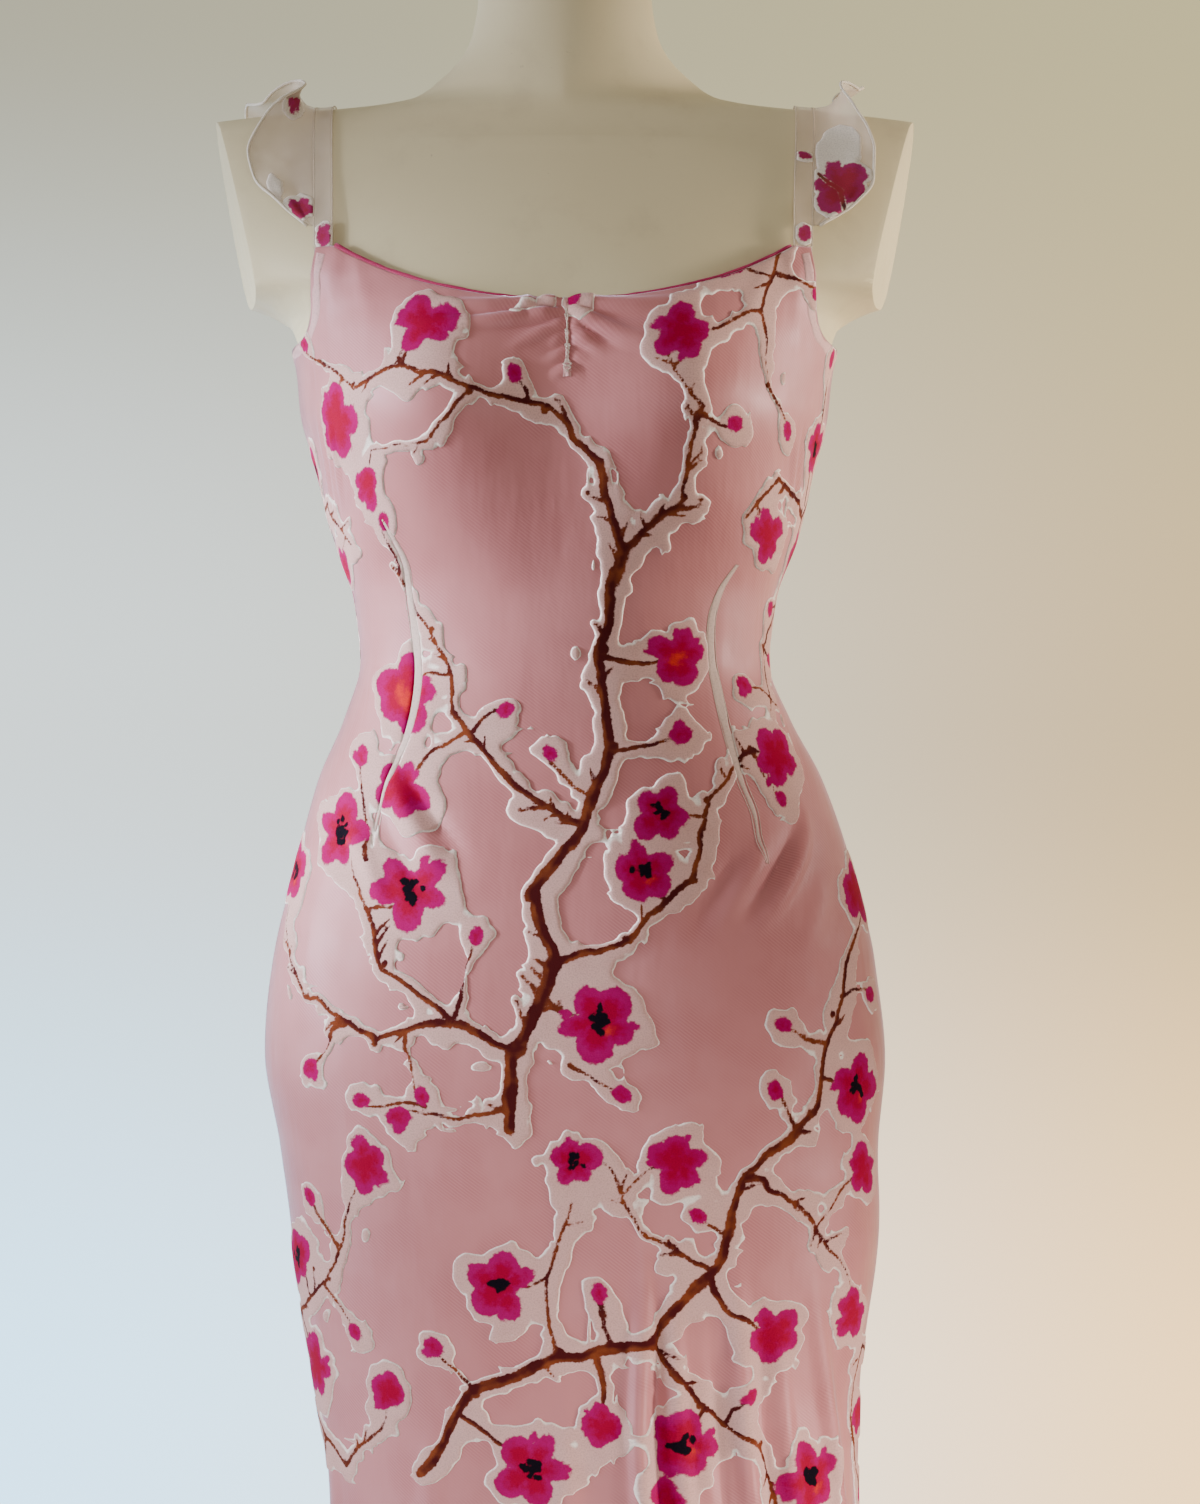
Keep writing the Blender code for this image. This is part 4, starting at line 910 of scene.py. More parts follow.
def blossom(made, centre, radius, kind, turn, pick):
    """Ragged petals round a heart, with an eye or a glow in it if its kind says so."""
    whole = radius > SMALL_BLOSSOM
    radius = radius * BLOSSOM_SCALE
    squash = pick.uniform(0.55, 0.95)
    lean = pick.uniform(0, math.pi)
    fifth = 2 * math.pi / 5
    for k in range(5 if whole else 3):
        uneven = pick.uniform(-0.24, 0.24)
        angle = turn + k * fifth + uneven if whole else turn + (k - 1) * 0.95 + math.pi / 2
        far = radius * 0.54 * pick.uniform(0.84, 1.10)
        reach = 1 - (1 - squash) * abs(math.cos(angle - lean))
        wide = radius * 0.39 * pick.uniform(0.70, 1.25)
        long = radius * 0.48 * pick.uniform(0.85, 1.2)
        made.dab(made.petal, toward(centre, angle, far * reach), long, wide, angle)
        nick = angle + pick.uniform(-0.5, 0.5)
        made.dab(made.petal, toward(centre, nick, radius * reach * 0.86), radius * 0.17, radius * 0.12, nick)
        made.dab(made.heart, toward(centre, angle, far * reach * 0.78), radius * 0.34, wide * 0.72, angle)
    made.dab(made.petal, centre, radius * 0.52, radius * 0.48, lean)
    made.dab(made.heart, centre, radius * 0.40, radius * 0.40, 0.0)
    if kind == "eye":
        tilt = pick.uniform(0, math.pi)
        for _ in range(EYE_DOTS):
            angle, far = pick.uniform(0, 2 * math.pi), pick.uniform(0.05, 0.26) * radius
            dot = (
                centre[0] + far * (math.cos(angle) + 0.35 * math.cos(tilt) * pick.choice((-1, 1))),
                centre[1] + far * (math.sin(angle) + 0.35 * math.sin(tilt) * pick.choice((-1, 1))),
            )
            made.dab(made.eye, dot, radius * pick.uniform(0.07, 0.14), radius * 0.08, pick.uniform(0, 3))
        if pick.uniform() < 0.4:
            lit = (centre[0] + radius * 0.2, centre[1] - radius * 0.25)
            made.dab(made.glow, lit, radius * 0.16, radius * 0.1, turn)
    elif kind == "glow":
        for _ in range(GLOW_DABS):
            aside, up = pick.uniform(-0.16, 0.16) * radius, pick.uniform(-0.18, 0.18) * radius
            lit = (centre[0] + aside, centre[1] + up)
            made.dab(made.glow, lit, radius * 0.24, radius * 0.13, pick.uniform(0, 3))


def bud(made, centre, foot, size, pick):
    """A closed bud on a twig that bends."""
    heading = heading_of(foot, centre)
    bend = (
        (centre[0] + foot[0]) / 2 + pick.uniform(-2.5, 2.5),
        (centre[1] + foot[1]) / 2 + pick.uniform(-2.5, 2.5),
    )
    made.stroke(made.twig, foot, bend, 1.5, 1.1)
    made.stroke(made.twig, bend, centre, 1.1, 0.8)
    made.dab(made.petal, centre, size * 0.55, size * 0.42, heading)
    made.dab(made.heart, centre, size * 0.38, size * 0.24, heading)
    if size > LONG_BUD:
        beside = toward(centre, heading + math.pi / 2, size * 0.4)
        made.dab(made.petal, beside, size * 0.34, size * 0.24, heading + 0.7)


def blurred(field, cells):
    """Each value of a grid evened out with those a number of cells around it."""
    width = 2 * cells + 1
    for axis in (0, 1, 0, 1):
        room_at_ends = [(0, 0), (0, 0)]
        room_at_ends[axis] = (cells + 1, cells)
        total = np.cumsum(np.pad(field, room_at_ends, mode="edge"), axis=axis)
        later, earlier = np.arange(width, total.shape[axis]), np.arange(total.shape[axis] - width)
        field = (np.take(total, later, axis=axis) - np.take(total, earlier, axis=axis)) / width
    return field


def velvet_outline(made):
    """How far inside the velvet each point is: a margin round all that is printed, wider on one side."""
    S, Z = made.S, made.Z
    wide = soft_noise(S, Z, 21.0, 21)
    fine = soft_noise(S, Z, 7.5, 22)
    small = soft_noise(S, Z, 4.2, 23)
    ridge = np.clip(1 - np.abs(soft_noise(S, Z, 13.0, 24)) * 3.2, 0.0, 1.0)
    in_patch = soft_noise(S, Z, 33.0, 25) > 0.05
    margin = np.maximum(LIMB_MARGIN + 2.6 * wide + 1.2 * fine, LEAST_MARGIN) + 0.7 * small
    margin += TENDRIL * ridge * in_patch
    limb = np.maximum(made.bark, made.twig - 0.8)
    step = made.s[1] - made.s[0]
    fork = blurred(np.clip(np.maximum(limb, made.petal), -15.0, 3.0), int(round(WEB_REACH / step)))
    limb = np.maximum(limb, fork + 1.0)
    shift = max(int(round(OUTLINE_SHIFT / step)), 1)
    limb = np.roll(np.roll(limb, shift, axis=1), -shift, axis=0)
    petal = made.petal + PETAL_MARGIN + 1.3 * wide + 0.8 * fine + 0.4 * small
    field = smooth_max(limb + margin, petal, 4.0)
    field = smooth_max(field, np.maximum(made.bark, made.petal) + 1.6, 0.8)
    chips = made.chip + 0.7 * small
    return np.maximum(field, np.where(field < -2.0, chips, FAR_OUTSIDE))


def cut_out(field):
    """The part of a grid where field > 0, cut by straight lines across its cells.

    Returns fractional rows and columns of its points, its faces and the pairs of points along its outline."""
    rows, columns = field.shape
    inside = field > 0
    corner = np.arange(rows * columns).reshape(rows, columns)
    level = corner[-1, -1] + 1 + np.arange(rows * (columns - 1)).reshape(rows, columns - 1)
    upright = level[-1, -1] + 1 + np.arange((rows - 1) * columns).reshape(rows - 1, columns)
    i, j = np.meshgrid(np.arange(rows), np.arange(columns), indexing="ij")
    across = np.clip(field[:, :-1] / (field[:, :-1] - field[:, 1:] + 1e-12), 0.12, 0.88)
    along = np.clip(field[:-1] / (field[:-1] - field[1:] + 1e-12), 0.12, 0.88)
    place_row = np.concatenate([i.ravel(), i[:, :-1].ravel(), (i[:-1] + along).ravel()])
    place_column = np.concatenate([j.ravel(), (j[:, :-1] + across).ravel(), j[:-1].ravel()])
    corners = [corner[:-1, :-1], corner[:-1, 1:], corner[1:, 1:], corner[1:, :-1]]
    cuts = [level[:-1], upright[:, 1:], level[1:], upright[:, :-1]]
    held = [inside[:-1, :-1], inside[:-1, 1:], inside[1:, 1:], inside[1:, :-1]]
    code = sum(mask.astype(int) << k for k, mask in enumerate(held))
    faces, outline = [], []
    for kind in range(1, 16):
        here = code == kind
        if not here.any():
            continue
        walk = []
        for k in range(4):
            if kind >> k & 1:
                walk.append((corners[k][here], False))
            if (kind >> k & 1) != (kind >> ((k + 1) % 4) & 1):
                walk.append((cuts[k][here], True))
        faces += np.stack([ids for ids, _ in walk], axis=1).tolist()
        for (first, first_cut), (second, second_cut) in zip(walk, walk[1:] + walk[:1]):
            if first_cut and second_cut:
                outline.append(np.stack([first, second], axis=1))
    outline = np.concatenate(outline)
    used = np.unique(np.concatenate([np.concatenate([np.array(f) for f in faces]), outline.ravel()]))
    renumber = np.full(len(place_row), -1)
    renumber[used] = np.arange(len(used))
    faces = [renumber[f].tolist() for f in faces]
    return place_row[used], place_column[used], faces, renumber[outline]


def velvet_piece(name, made, field, put, material, turned=False, height=PILE_HEIGHT):
    """The pile that is left of the velvet, standing off the cloth with rounded edges that reach down into it.

    put(s, z, height) gives the point that stands so far off the cloth."""
    row, column, faces, outline = cut_out(field)
    s = (made.s[0] + column * (made.s[1] - made.s[0])) * MM
    z = (made.z[0] + row * (made.z[1] - made.z[0])) * MM
    inside = np.maximum(read_between(field, row, column), 0.0)
    round_off = np.sqrt(np.clip(1 - (1 - np.minimum(inside / PILE_ROUNDING, 1.0)) ** 2, 0.0, 1.0))
    rise = height * (PILE_EDGE + (1 - PILE_EDGE) * round_off)
    top = put(s, z, rise)
    rim = np.unique(outline)
    foot = put(s[rim], z[rim], np.full(len(rim), -PILE_ROOT))
    under = np.full(len(s), -1)
    under[rim] = len(s) + np.arange(len(rim))
    a, b = outline[:, 0], outline[:, 1]
    walls = np.stack([a, under[a], under[b], b], axis=1).tolist()
    faces = faces + walls
    if turned:
        faces = [face[::-1] for face in faces]
    every = np.concatenate([np.arange(len(s)), rim])
    limb = np.maximum(made.bark, made.twig)
    side = np.roll(made.bark, (1, 1), axis=(0, 1)) - np.roll(made.bark, (-1, -1), axis=(0, 1))
    # rim is how far inside the velvet's outline a point is; the material paints a highlight with it along the
    # edge.
    printed = {"limb": limb, "shaded_side": side, "petal": made.petal, "heart": made.heart,
               "eye": made.eye, "glow": made.glow, "rim": field}
    values = {title: read_between(data, row, column)[every] for title, data in printed.items()}
    values["cut"] = flat_places(s, z)[every]
    return piece_mesh(name, np.concatenate([top, foot]), faces, material, values)


# ---------------------------------------------------------------- finishes
def dye(red, green, blue):
    """A colour as seen on a screen, from 0 to 255, as the shader takes it."""
    seen = np.array([red, green, blue]) / 255.0
    return (*np.where(seen < 0.04045, seen / 12.92, ((seen + 0.055) / 1.055) ** 2.4), 1.0)


def node(tree, kind, inputs=None, **settings):
    """A new node; an input is either a value or another node's output."""
    made = tree.nodes.new("ShaderNode" + kind)
    for key, value in settings.items():
        setattr(made, key, value)
    for key, value in (inputs or {}).items():
        if isinstance(value, bpy.types.NodeSocket):
            tree.links.new(value, made.inputs[key])
        else:
            made.inputs[key].default_value = value
    return made


def worked(tree, operation, first, second, third=0.0):
    """What comes of adding, multiplying or subtracting values in a material."""
    return node(tree, "Math", {0: first, 1: second, 2: third}, operation=operation).outputs[0]


def mixed(tree, share, low, high):
    """One colour over another."""
    return node(tree, "Mix", {0: share, 6: low, 7: high}, data_type="RGBA").outputs[2]


def spread(tree, value, low, high, to_low=0.0, to_high=1.0):
    """A value that goes softly from to_low to to_high while another goes from low to high."""
    inputs = {"Value": value, "From Min": low, "From Max": high, "To Min": to_low, "To Max": to_high}
    return node(tree, "MapRange", inputs, interpolation_type="SMOOTHSTEP").outputs["Result"]


def mottle(tree, where, size, detail=2.0, roughness=0.5):
    """Noise from 0 to 1 with features of this size in metres."""
    inputs = {"Vector": where, "Scale": 1.0 / size, "Detail": detail, "Roughness": roughness}
    return node(tree, "TexNoise", inputs).outputs[0]


def attribute(tree, title, output="Fac"):
    """A named value of the mesh's points."""
    return node(tree, "Attribute", attribute_name=title).outputs[output]


def finish(name, **sockets):
    """A new material; sockets are the shader's own settings, with _ for a space."""
    material = bpy.data.materials.new(name)
    material.use_nodes = True
    shader = material.node_tree.nodes["Principled BSDF"]
    for key, value in sockets.items():
        shader.inputs[key.replace("_", " ")].default_value = value
    return material, material.node_tree, shader


def wire_up(tree, shader, colour, height, distance, strength, rough=None):
    """Gives a shader its colour, a fine relief this deep in metres, and its roughness if that varies."""
    tree.links.new(colour, shader.inputs["Base Color"])
    if rough is not None:
        tree.links.new(rough, shader.inputs["Roughness"])
    bump = node(tree, "Bump", {"Height": height, "Distance": distance, "Strength": strength})
    tree.links.new(bump.outputs[0], shader.inputs["Normal"])


WAVE_TURN = 20.0  # radians that the wave texture turns through in a unit of length


def threads(tree, where, pitch, turn, distortion, detail_size):
    """Fine parallel lines of the weave, from 0 to 1, this far apart and with this much waviness."""
    turned = node(tree, "Mapping", {"Vector": where, "Rotation": (0.0, 0.0, turn)}).outputs[0]
    scale = 2 * math.pi / (WAVE_TURN * pitch)
    inputs = {"Vector": turned, "Scale": scale, "Distortion": distortion, "Detail": 2.0,
              "Detail Scale": 1.0 / (detail_size * scale)}
    return node(tree, "TexWave", inputs, bands_direction="Y").outputs[1]


def ground_cloth():
    """The burnt-out ground: thin pink silk over the lining, with watery lines where the two cross."""
    material, tree, shader = finish(
        "burnt_out_ground", Sheen_Weight=0.95, Sheen_Roughness=0.32, Sheen_Tint=dye(244, 228, 255),
        Specular_IOR_Level=0.60, IOR=1.5, Specular_Tint=dye(244, 232, 250),
    )
    cut = attribute(tree, "cut", "Vector")
    broad = mottle(tree, cut, 0.11, 2.0)
    colour = mixed(tree, broad, dye(181, 109, 110), dye(200, 128, 131))
    watery = threads(tree, cut, 0.0016, math.radians(38), 3.4, 0.05)
    patches = spread(tree, mottle(tree, cut, 0.035, 2.0), 0.38, 0.66)
    lines = worked(tree, "MULTIPLY", watery, patches)
    colour = mixed(tree, worked(tree, "MULTIPLY", lines, 0.42), colour, dye(156, 78, 82))
    fine = threads(tree, cut, 0.0006, math.radians(52), 0.6, 0.02)
    colour = mixed(tree, worked(tree, "MULTIPLY", fine, 0.06), colour, dye(240, 214, 212))
    rough = spread(tree, mottle(tree, cut, 0.02, 3.0), 0.25, 0.75, 0.48, 0.60)
    weave = worked(tree, "ADD", worked(tree, "MULTIPLY", watery, 0.7), worked(tree, "MULTIPLY", fine, 0.3))
    on_bias = {"Vector": cut, "Rotation": (0.0, 0.0, math.radians(-52)), "Scale": (1.0, 0.28, 1.0)}
    drag = mottle(tree, node(tree, "Mapping", on_bias).outputs[0], 0.011, 2.0)
    wire_up(tree, shader, colour, worked(tree, "MULTIPLY_ADD", weave, 0.07, drag), 0.0011, 0.45, rough)
    return material


def lining_cloth():
    """Smooth pink satin."""
    material, tree, shader = finish(
        "lining_satin", Sheen_Weight=0.3, Sheen_Roughness=0.3, Sheen_Tint=dye(245, 225, 230), Roughness=0.36,
    )
    cut = attribute(tree, "cut", "Vector")
    colour = mixed(tree, mottle(tree, cut, 0.06, 2.0), dye(196, 112, 122), dye(212, 136, 142))
    fine = threads(tree, cut, 0.0007, math.radians(45), 0.4, 0.02)
    colour = mixed(tree, worked(tree, "MULTIPLY", fine, 0.10), colour, dye(236, 190, 190))
    wire_up(tree, shader, colour, fine, 0.00004, 0.3)
    return material


def pile_velvet(name, plain_low, plain_high, washed_out=0.0):
    """Pile with branches, petals and hearts dyed into it, ragged where the dye ran, and a painted highlight
    at its edge.
    """
    material, tree, shader = finish(
        name, Sheen_Weight=0.04, Sheen_Roughness=0.42, Sheen_Tint=dye(240, 226, 250),
        Roughness=0.88, Specular_IOR_Level=0.05,
    )
    cut = attribute(tree, "cut", "Vector")
    ragged = mottle(tree, cut, 0.0030, 3.0, 0.6)
    ragged = spread(tree, ragged, 0.2, 0.8, -1.0, 1.0)
    tufts = mottle(tree, cut, 0.0009, 2.0, 0.6)
    clouds = mottle(tree, cut, 0.012, 2.0)

    def dyed(title, low, high, ragged_share):
        value = worked(tree, "MULTIPLY_ADD", ragged, ragged_share, attribute(tree, title))
        return spread(tree, value, low, high)

    colour = mixed(tree, clouds, plain_low, plain_high)
    # A painted highlight: the pile turns near white within about a millimetre of its cut edge, where light
    # would catch it.
    colour = mixed(tree, spread(tree, attribute(tree, "rim"), 0.9, 0.2), colour, dye(250, 240, 234))
    limb = dyed("limb", -0.30, 0.45, 0.55)
    bark = mixed(tree, spread(tree, clouds, 0.30, 0.70), dye(132, 66, 38), dye(104, 46, 28))
    side = mottle(tree, cut, 0.016, 2.0, 0.5)
    side = worked(tree, "MULTIPLY_ADD", attribute(tree, "shaded_side"), 0.05, side)
    side = worked(tree, "MULTIPLY_ADD", attribute(tree, "limb"), 0.05, side)
    bark = mixed(tree, spread(tree, side, 0.42, 0.70), bark, dye(72, 20, 22))
    colour = mixed(tree, limb, colour, bark)
    petal = dyed("petal", -0.55, 0.55, 0.75)
    magenta = mixed(tree, clouds, dye(174, 2, 113), dye(155, 1, 79))
    colour = mixed(tree, petal, colour, magenta)
    heart = worked(tree, "MULTIPLY", dyed("heart", -2.0, 4.0, 1.8), 0.9)
    colour = mixed(tree, heart, colour, dye(158, 0, 44))
    glow = worked(tree, "MULTIPLY", dyed("glow", -1.6, 3.0, 1.4), 0.6)
    colour = mixed(tree, glow, colour, dye(226, 62, 34))
    colour = mixed(tree, dyed("eye", -0.30, 0.35, 0.45), colour, dye(12, 8, 20))
    colour = mixed(tree, spread(tree, tufts, 0.35, 0.75, 0.0, 0.22), colour, dye(40, 20, 26))
    colour = mixed(tree, washed_out, colour, plain_high)
    wire_up(tree, shader, colour, tufts, 0.00035, 0.5)
    return material


def sheer_cloth(name, alpha):
    """The thin unlined silk of the straps and ruffles."""
    material, tree, shader = finish(
        name, Sheen_Weight=0.6, Sheen_Roughness=0.3, Sheen_Tint=dye(255, 250, 244), Roughness=0.5,
        Specular_IOR_Level=0.35, Alpha=alpha,
    )
    cut = attribute(tree, "cut", "Vector")
    colour = mixed(tree, mottle(tree, cut, 0.015, 2.0), dye(226, 208, 192), dye(240, 226, 212))
    fine = threads(tree, cut, 0.0006, math.radians(45), 0.4, 0.02)
    colour = mixed(tree, worked(tree, "MULTIPLY", fine, 0.12), colour, dye(250, 244, 236))
    wire_up(tree, shader, colour, worked(tree, "ADD", fine, mottle(tree, cut, 0.006, 2.0)), 0.0002, 0.25)
    return material


def sewn_edge(name, low, high, sheen=0.5, grain=0.0008):
    """Rolled edges, turnings, stitches and bindings: plain cloth with a fine twist to it."""
    material, tree, shader = finish(
        name, Sheen_Weight=sheen, Sheen_Roughness=0.35, Sheen_Tint=dye(255, 246, 244), Roughness=0.6,
        Specular_IOR_Level=0.35,
    )
    where = node(tree, "TexCoord").outputs["Object"]
    colour = mixed(tree, mottle(tree, where, 0.010, 3.0), low, high)
    twist = mottle(tree, where, grain, 2.0, 0.6)
    colour = mixed(tree, spread(tree, twist, 0.45, 0.8, 0.0, 0.3), colour, dye(90, 60, 56))
    wire_up(tree, shader, colour, twist, 0.0003, 0.5)
    return material


def painted_shell():
    """The dress form's matt off-white skin, a little mottled and scuffed with age."""
    material, tree, shader = finish("painted_shell", Specular_IOR_Level=0.3)
    where = node(tree, "TexCoord").outputs["Object"]
    colour = mixed(tree, mottle(tree, where, 0.16, 3.0), dye(211, 199, 162), dye(221, 210, 176))
    grime = spread(tree, mottle(tree, where, 0.035, 5.0, 0.62), 0.52, 0.80, 0.0, 0.22)
    colour = mixed(tree, grime, colour, dye(176, 160, 132))
    marks = spread(tree, mottle(tree, where, 0.0045, 3.0, 0.7), 0.70, 0.78, 0.0, 0.35)
    colour = mixed(tree, marks, colour, dye(150, 132, 108))
    rough = spread(tree, mottle(tree, where, 0.012, 3.0), 0.3, 0.7, 0.52, 0.68)
    skin = worked(tree, "SUBTRACT", mottle(tree, where, 0.0012, 3.0, 0.6), marks)
    wire_up(tree, shader, colour, skin, 0.00012, 0.35, rough)
    return material


def brushed_steel():
    """Steel with fine upright lines and a few dull smears."""
    material, tree, shader = finish("brushed_steel", Metallic=1.0, Specular_IOR_Level=0.5)
    where = node(tree, "TexCoord").outputs["Object"]
    turned = node(tree, "Mapping", {"Vector": where, "Scale": (1.0, 1.0, 0.05)}).outputs[0]
    brushed = mottle(tree, turned, 0.0012, 3.0, 0.6)
    colour = mixed(tree, brushed, dye(168, 168, 166), dye(196, 195, 192))
    smears = spread(tree, mottle(tree, where, 0.03, 4.0, 0.6), 0.5, 0.8, 0.0, 0.25)
    colour = mixed(tree, smears, colour, dye(134, 132, 128))
    rough = worked(tree, "MULTIPLY_ADD", brushed, 0.22, 0.18)
    wire_up(tree, shader, colour, brushed, 0.00004, 0.3, rough)
    return material


def pale_floor():
    """A plain floor, which catches the stand's shadow."""
    material, tree, shader = finish("pale_floor", Roughness=0.75, Specular_IOR_Level=0.3)
    where = node(tree, "TexCoord").outputs["Object"]
    colour = mixed(tree, mottle(tree, where, 0.4, 4.0), dye(214, 210, 202), dye(222, 218, 211))
    wire_up(tree, shader, colour, mottle(tree, where, 0.004, 3.0), 0.0004, 0.2)
    return material


# ---------------------------------------------------------------- the dress
def grid_piece(name, points, s, z, turned, material):
    """A sheet through a grid of points that knows their places on the flat cloth."""
    faces = grid_faces(*points.shape[:2], turned=turned)
    values = {"cut": flat_places(s, z).reshape(-1, 3)}
    return piece_mesh(name, points.reshape(-1, 3), faces, material, values)


def panel_sheet(panel, name, middle, thick, from_row, every, material):
    """One layer of a panel as a thin sheet, `middle` off the skin."""
    points = (panel.base + panel.normal * middle)[from_row::every]
    s, z = panel.s[from_row::every], panel.z[from_row::every]
    keep = np.unique(np.append(np.arange(0, points.shape[1], every), points.shape[1] - 1))
    sheet = grid_piece(name, points[:, keep], s[:, keep], z[:, keep], panel.side == "back", material)
    return thicken(sheet, thick)


BAND_ACROSS = (-1.0, -0.86, -0.5, 0.0, 0.5, 0.86, 1.0)
BAND_SUNK = 0.15 * MM  # how far its edges go into the cloth


def band(name, panel, places, widths, height, material):
    """A narrow flat band sewn along a line on a panel; places in cm, widths in mm along it."""
    line = along_line(np.array(places) * CM, 2.5 * MM)
    share = np.linspace(0.0, 1.0, len(line))
    half = np.interp(share, np.linspace(0.0, 1.0, len(widths)), widths) * MM / 2
    wobble = soft_noise(line[:, 1] / MM, line[:, 0] / MM, 9.0, 61)
    ahead = unit(np.gradient(line, axis=0))
    aside = np.stack([-ahead[:, 1], ahead[:, 0]], axis=1)
    rings = []
    for u in BAND_ACROSS:
        place = line + aside * (half * (1 + 0.16 * wobble) * u)[:, None]
        lift = height * math.sqrt(1 - abs(u) ** 3) - (BAND_SUNK if abs(u) == 1.0 else 0.0)
        rings.append(np.concatenate([place, np.full((len(line), 1), lift)], axis=1))
    s, z, lift = np.array(rings).transpose(2, 1, 0)
    return grid_piece(name, panel.on_cloth(s, z, lift), s, z, panel.side == "front", material)


def sewn_cord(name, panel, places, radius, material, height=0.0, step=1.0 * MM, sides=6):
    """A cord or thread that lies along a line on a panel; places in cm, radius in mm or a list of them."""
    line = along_line(np.array(places) * CM, step)
    share = np.linspace(0.0, 1.0, len(line))
    radii = np.interp(share, np.linspace(0.0, 1.0, np.size(radius)), np.atleast_1d(radius)) * MM
    points = panel.on_cloth(line[:, 0], line[:, 1], np.full(len(line), height * MM))
    places = flat_places(line[:, 0], line[:, 1])
    return tube(name, points, radii, material, sides, places)


ROLL_GAP = 0.0006  # between the neckline's roll and the straps
ROLL_STEP = 0.0025


def neck_binding(panel, radii, material):
    """The rolled binding on the neckline between the straps, thickest where its radii say."""
    strap_s = FRONT_STRAP_S if panel.side == "front" else BACK_STRAP_S
    inner = strap_s - STRAP_WIDTH / 2 - ROLL_GAP
    s = np.arange(-inner, inner + ROLL_STEP / 2, ROLL_STEP)
    z = top_edge(panel.side, s, panel.side_s)
    row, column = panel.find(s, z)
    middle = read_between(panel.base, row, column)
    normal = unit(read_between(panel.normal, row, column))
    radius = np.interp(s, np.linspace(-inner, inner, len(radii)), radii) * MM
    radius *= 1 + 0.10 * soft_noise(s / MM, z / MM, 6.0, 62)
    line = middle + normal * (OUTER_MIDDLE * 0.62)
    line[:, 2] += radius * 0.75
    name = "%s_neck_roll" % panel.side
    return tube(name, line, radius, material, sides=10, places=flat_places(s, z))


ARMHOLE_DROP = 0.0034  # from the armhole's edge to the middle of its turning
ARMHOLE_ENDS = (0.0010, 0.0012)  # left free beside the strap and at the side seam


def armhole_places(panel, hand):
    """A line a little inside the armhole's edge, from the strap down to the side seam, in cm."""
    strap_s = FRONT_STRAP_S if panel.side == "front" else BACK_STRAP_S
    s = np.linspace(strap_s + STRAP_WIDTH / 2 + ARMHOLE_ENDS[0], panel.side_s - ARMHOLE_ENDS[1], 60)
    z = top_edge(panel.side, s, panel.side_s)
    line = np.stack([s, z], axis=1)
    ahead = unit(np.gradient(line, axis=0))
    line = line + np.stack([ahead[:, 1], -ahead[:, 0]], axis=1) * ARMHOLE_DROP
    inside = line[panel.room(line[:, 0], line[:, 1]) > ARMHOLE_DROP * 0.35]
    return [(hand * a / CM, b / CM) for a, b in inside[::2]]


STITCH_PITCH = 0.13  # cm down the gather between two turns of its zigzag stitches, and their reach aside:
STITCH_REACH = 0.16
RIDGE_COLUMNS = 9


def gather_stitches(panel, material):
    """Zigzag stitches down the gathered middle of the neckline."""
    pick = np.random.RandomState(71)
    heights = np.arange(GATHER_TOP - 0.55, GATHER_LOW, -STITCH_PITCH)
    sewn = []
    for name, lead in (("over", 0), ("under", 1)):
        places = []
        for k, height in enumerate(heights):
            aside = STITCH_REACH if (k + lead) % 2 else -STITCH_REACH
            places.append((GATHER_S + aside + pick.uniform(-0.04, 0.04), height))
        sewn.append(sewn_cord(
            "gather_stitches_" + name, panel, places, (0.40, 0.40, 0.32), material,
            height=GATHER_RIDGE + 0.1, step=0.6 * MM,
        ))
    return sewn


def gather_ridge(panel, material):
    """The cloth that the stitches draw together, crumpled into a narrow ridge that frays open at its foot."""
    heights = np.arange(GATHER_TOP + 0.1, GATHER_LOW - 0.25, -0.07) * CM
    across, z = np.meshgrid(np.linspace(-1.0, 1.0, RIDGE_COLUMNS), heights)
    down = np.linspace(0.0, 1.0, len(heights))[:, None]
    half = (1.3 + 0.5 * soft_noise(z / MM, z / MM, 5.0, 63) + 1.2 * smoothstep(0.75, 1.0, down)) * MM
    crumple = soft_noise(across * 6.0, z / MM, 2.6, 64)
    s = GATHER_S * CM + half * across + 0.35 * MM * crumple
    edge = 1 - np.abs(across) ** 3
    lift = GATHER_RIDGE * MM * edge * (0.75 + 0.55 * crumple) - 0.2 * MM * (1 - edge)
    return grid_piece("gather_ridge", panel.on_cloth(s, z, lift), s, z, False, material)


ROLL_RADII = {  # mm, along the neckline from its left end
    "front": (1.45, 1.35, 1.15, 0.85, 0.70, 0.75, 0.95, 1.05, 1.1),
    "back": (1.1, 1.0, 1.0, 1.1),
}
TURNING_HEIGHT = 0.35 * MM


def dart_trims(side, panel, name, places, cloth, thread):
    """The folded cloth of a dart and the line of stitches on each side of it."""
    title = "%s_%s_dart" % (side, name)
    trims = [band(title, panel, places, DART_WIDTHS, 0.32 * MM, cloth)]
    for hand in (-1, 1):
        line = []
        for k, (s, z) in enumerate(places):
            bulge = 0.35 + 0.65 * math.sin(math.pi * k / (len(places) - 1))
            line.append((s + hand * DART_LINE * bulge, z))
        which = "inner" if hand * places[0][0] < 0 else "outer"
        trims.append(sewn_cord("%s_line_%s" % (title, which), panel, line, 0.22, thread,
                               height=0.12, sides=4))
    return trims


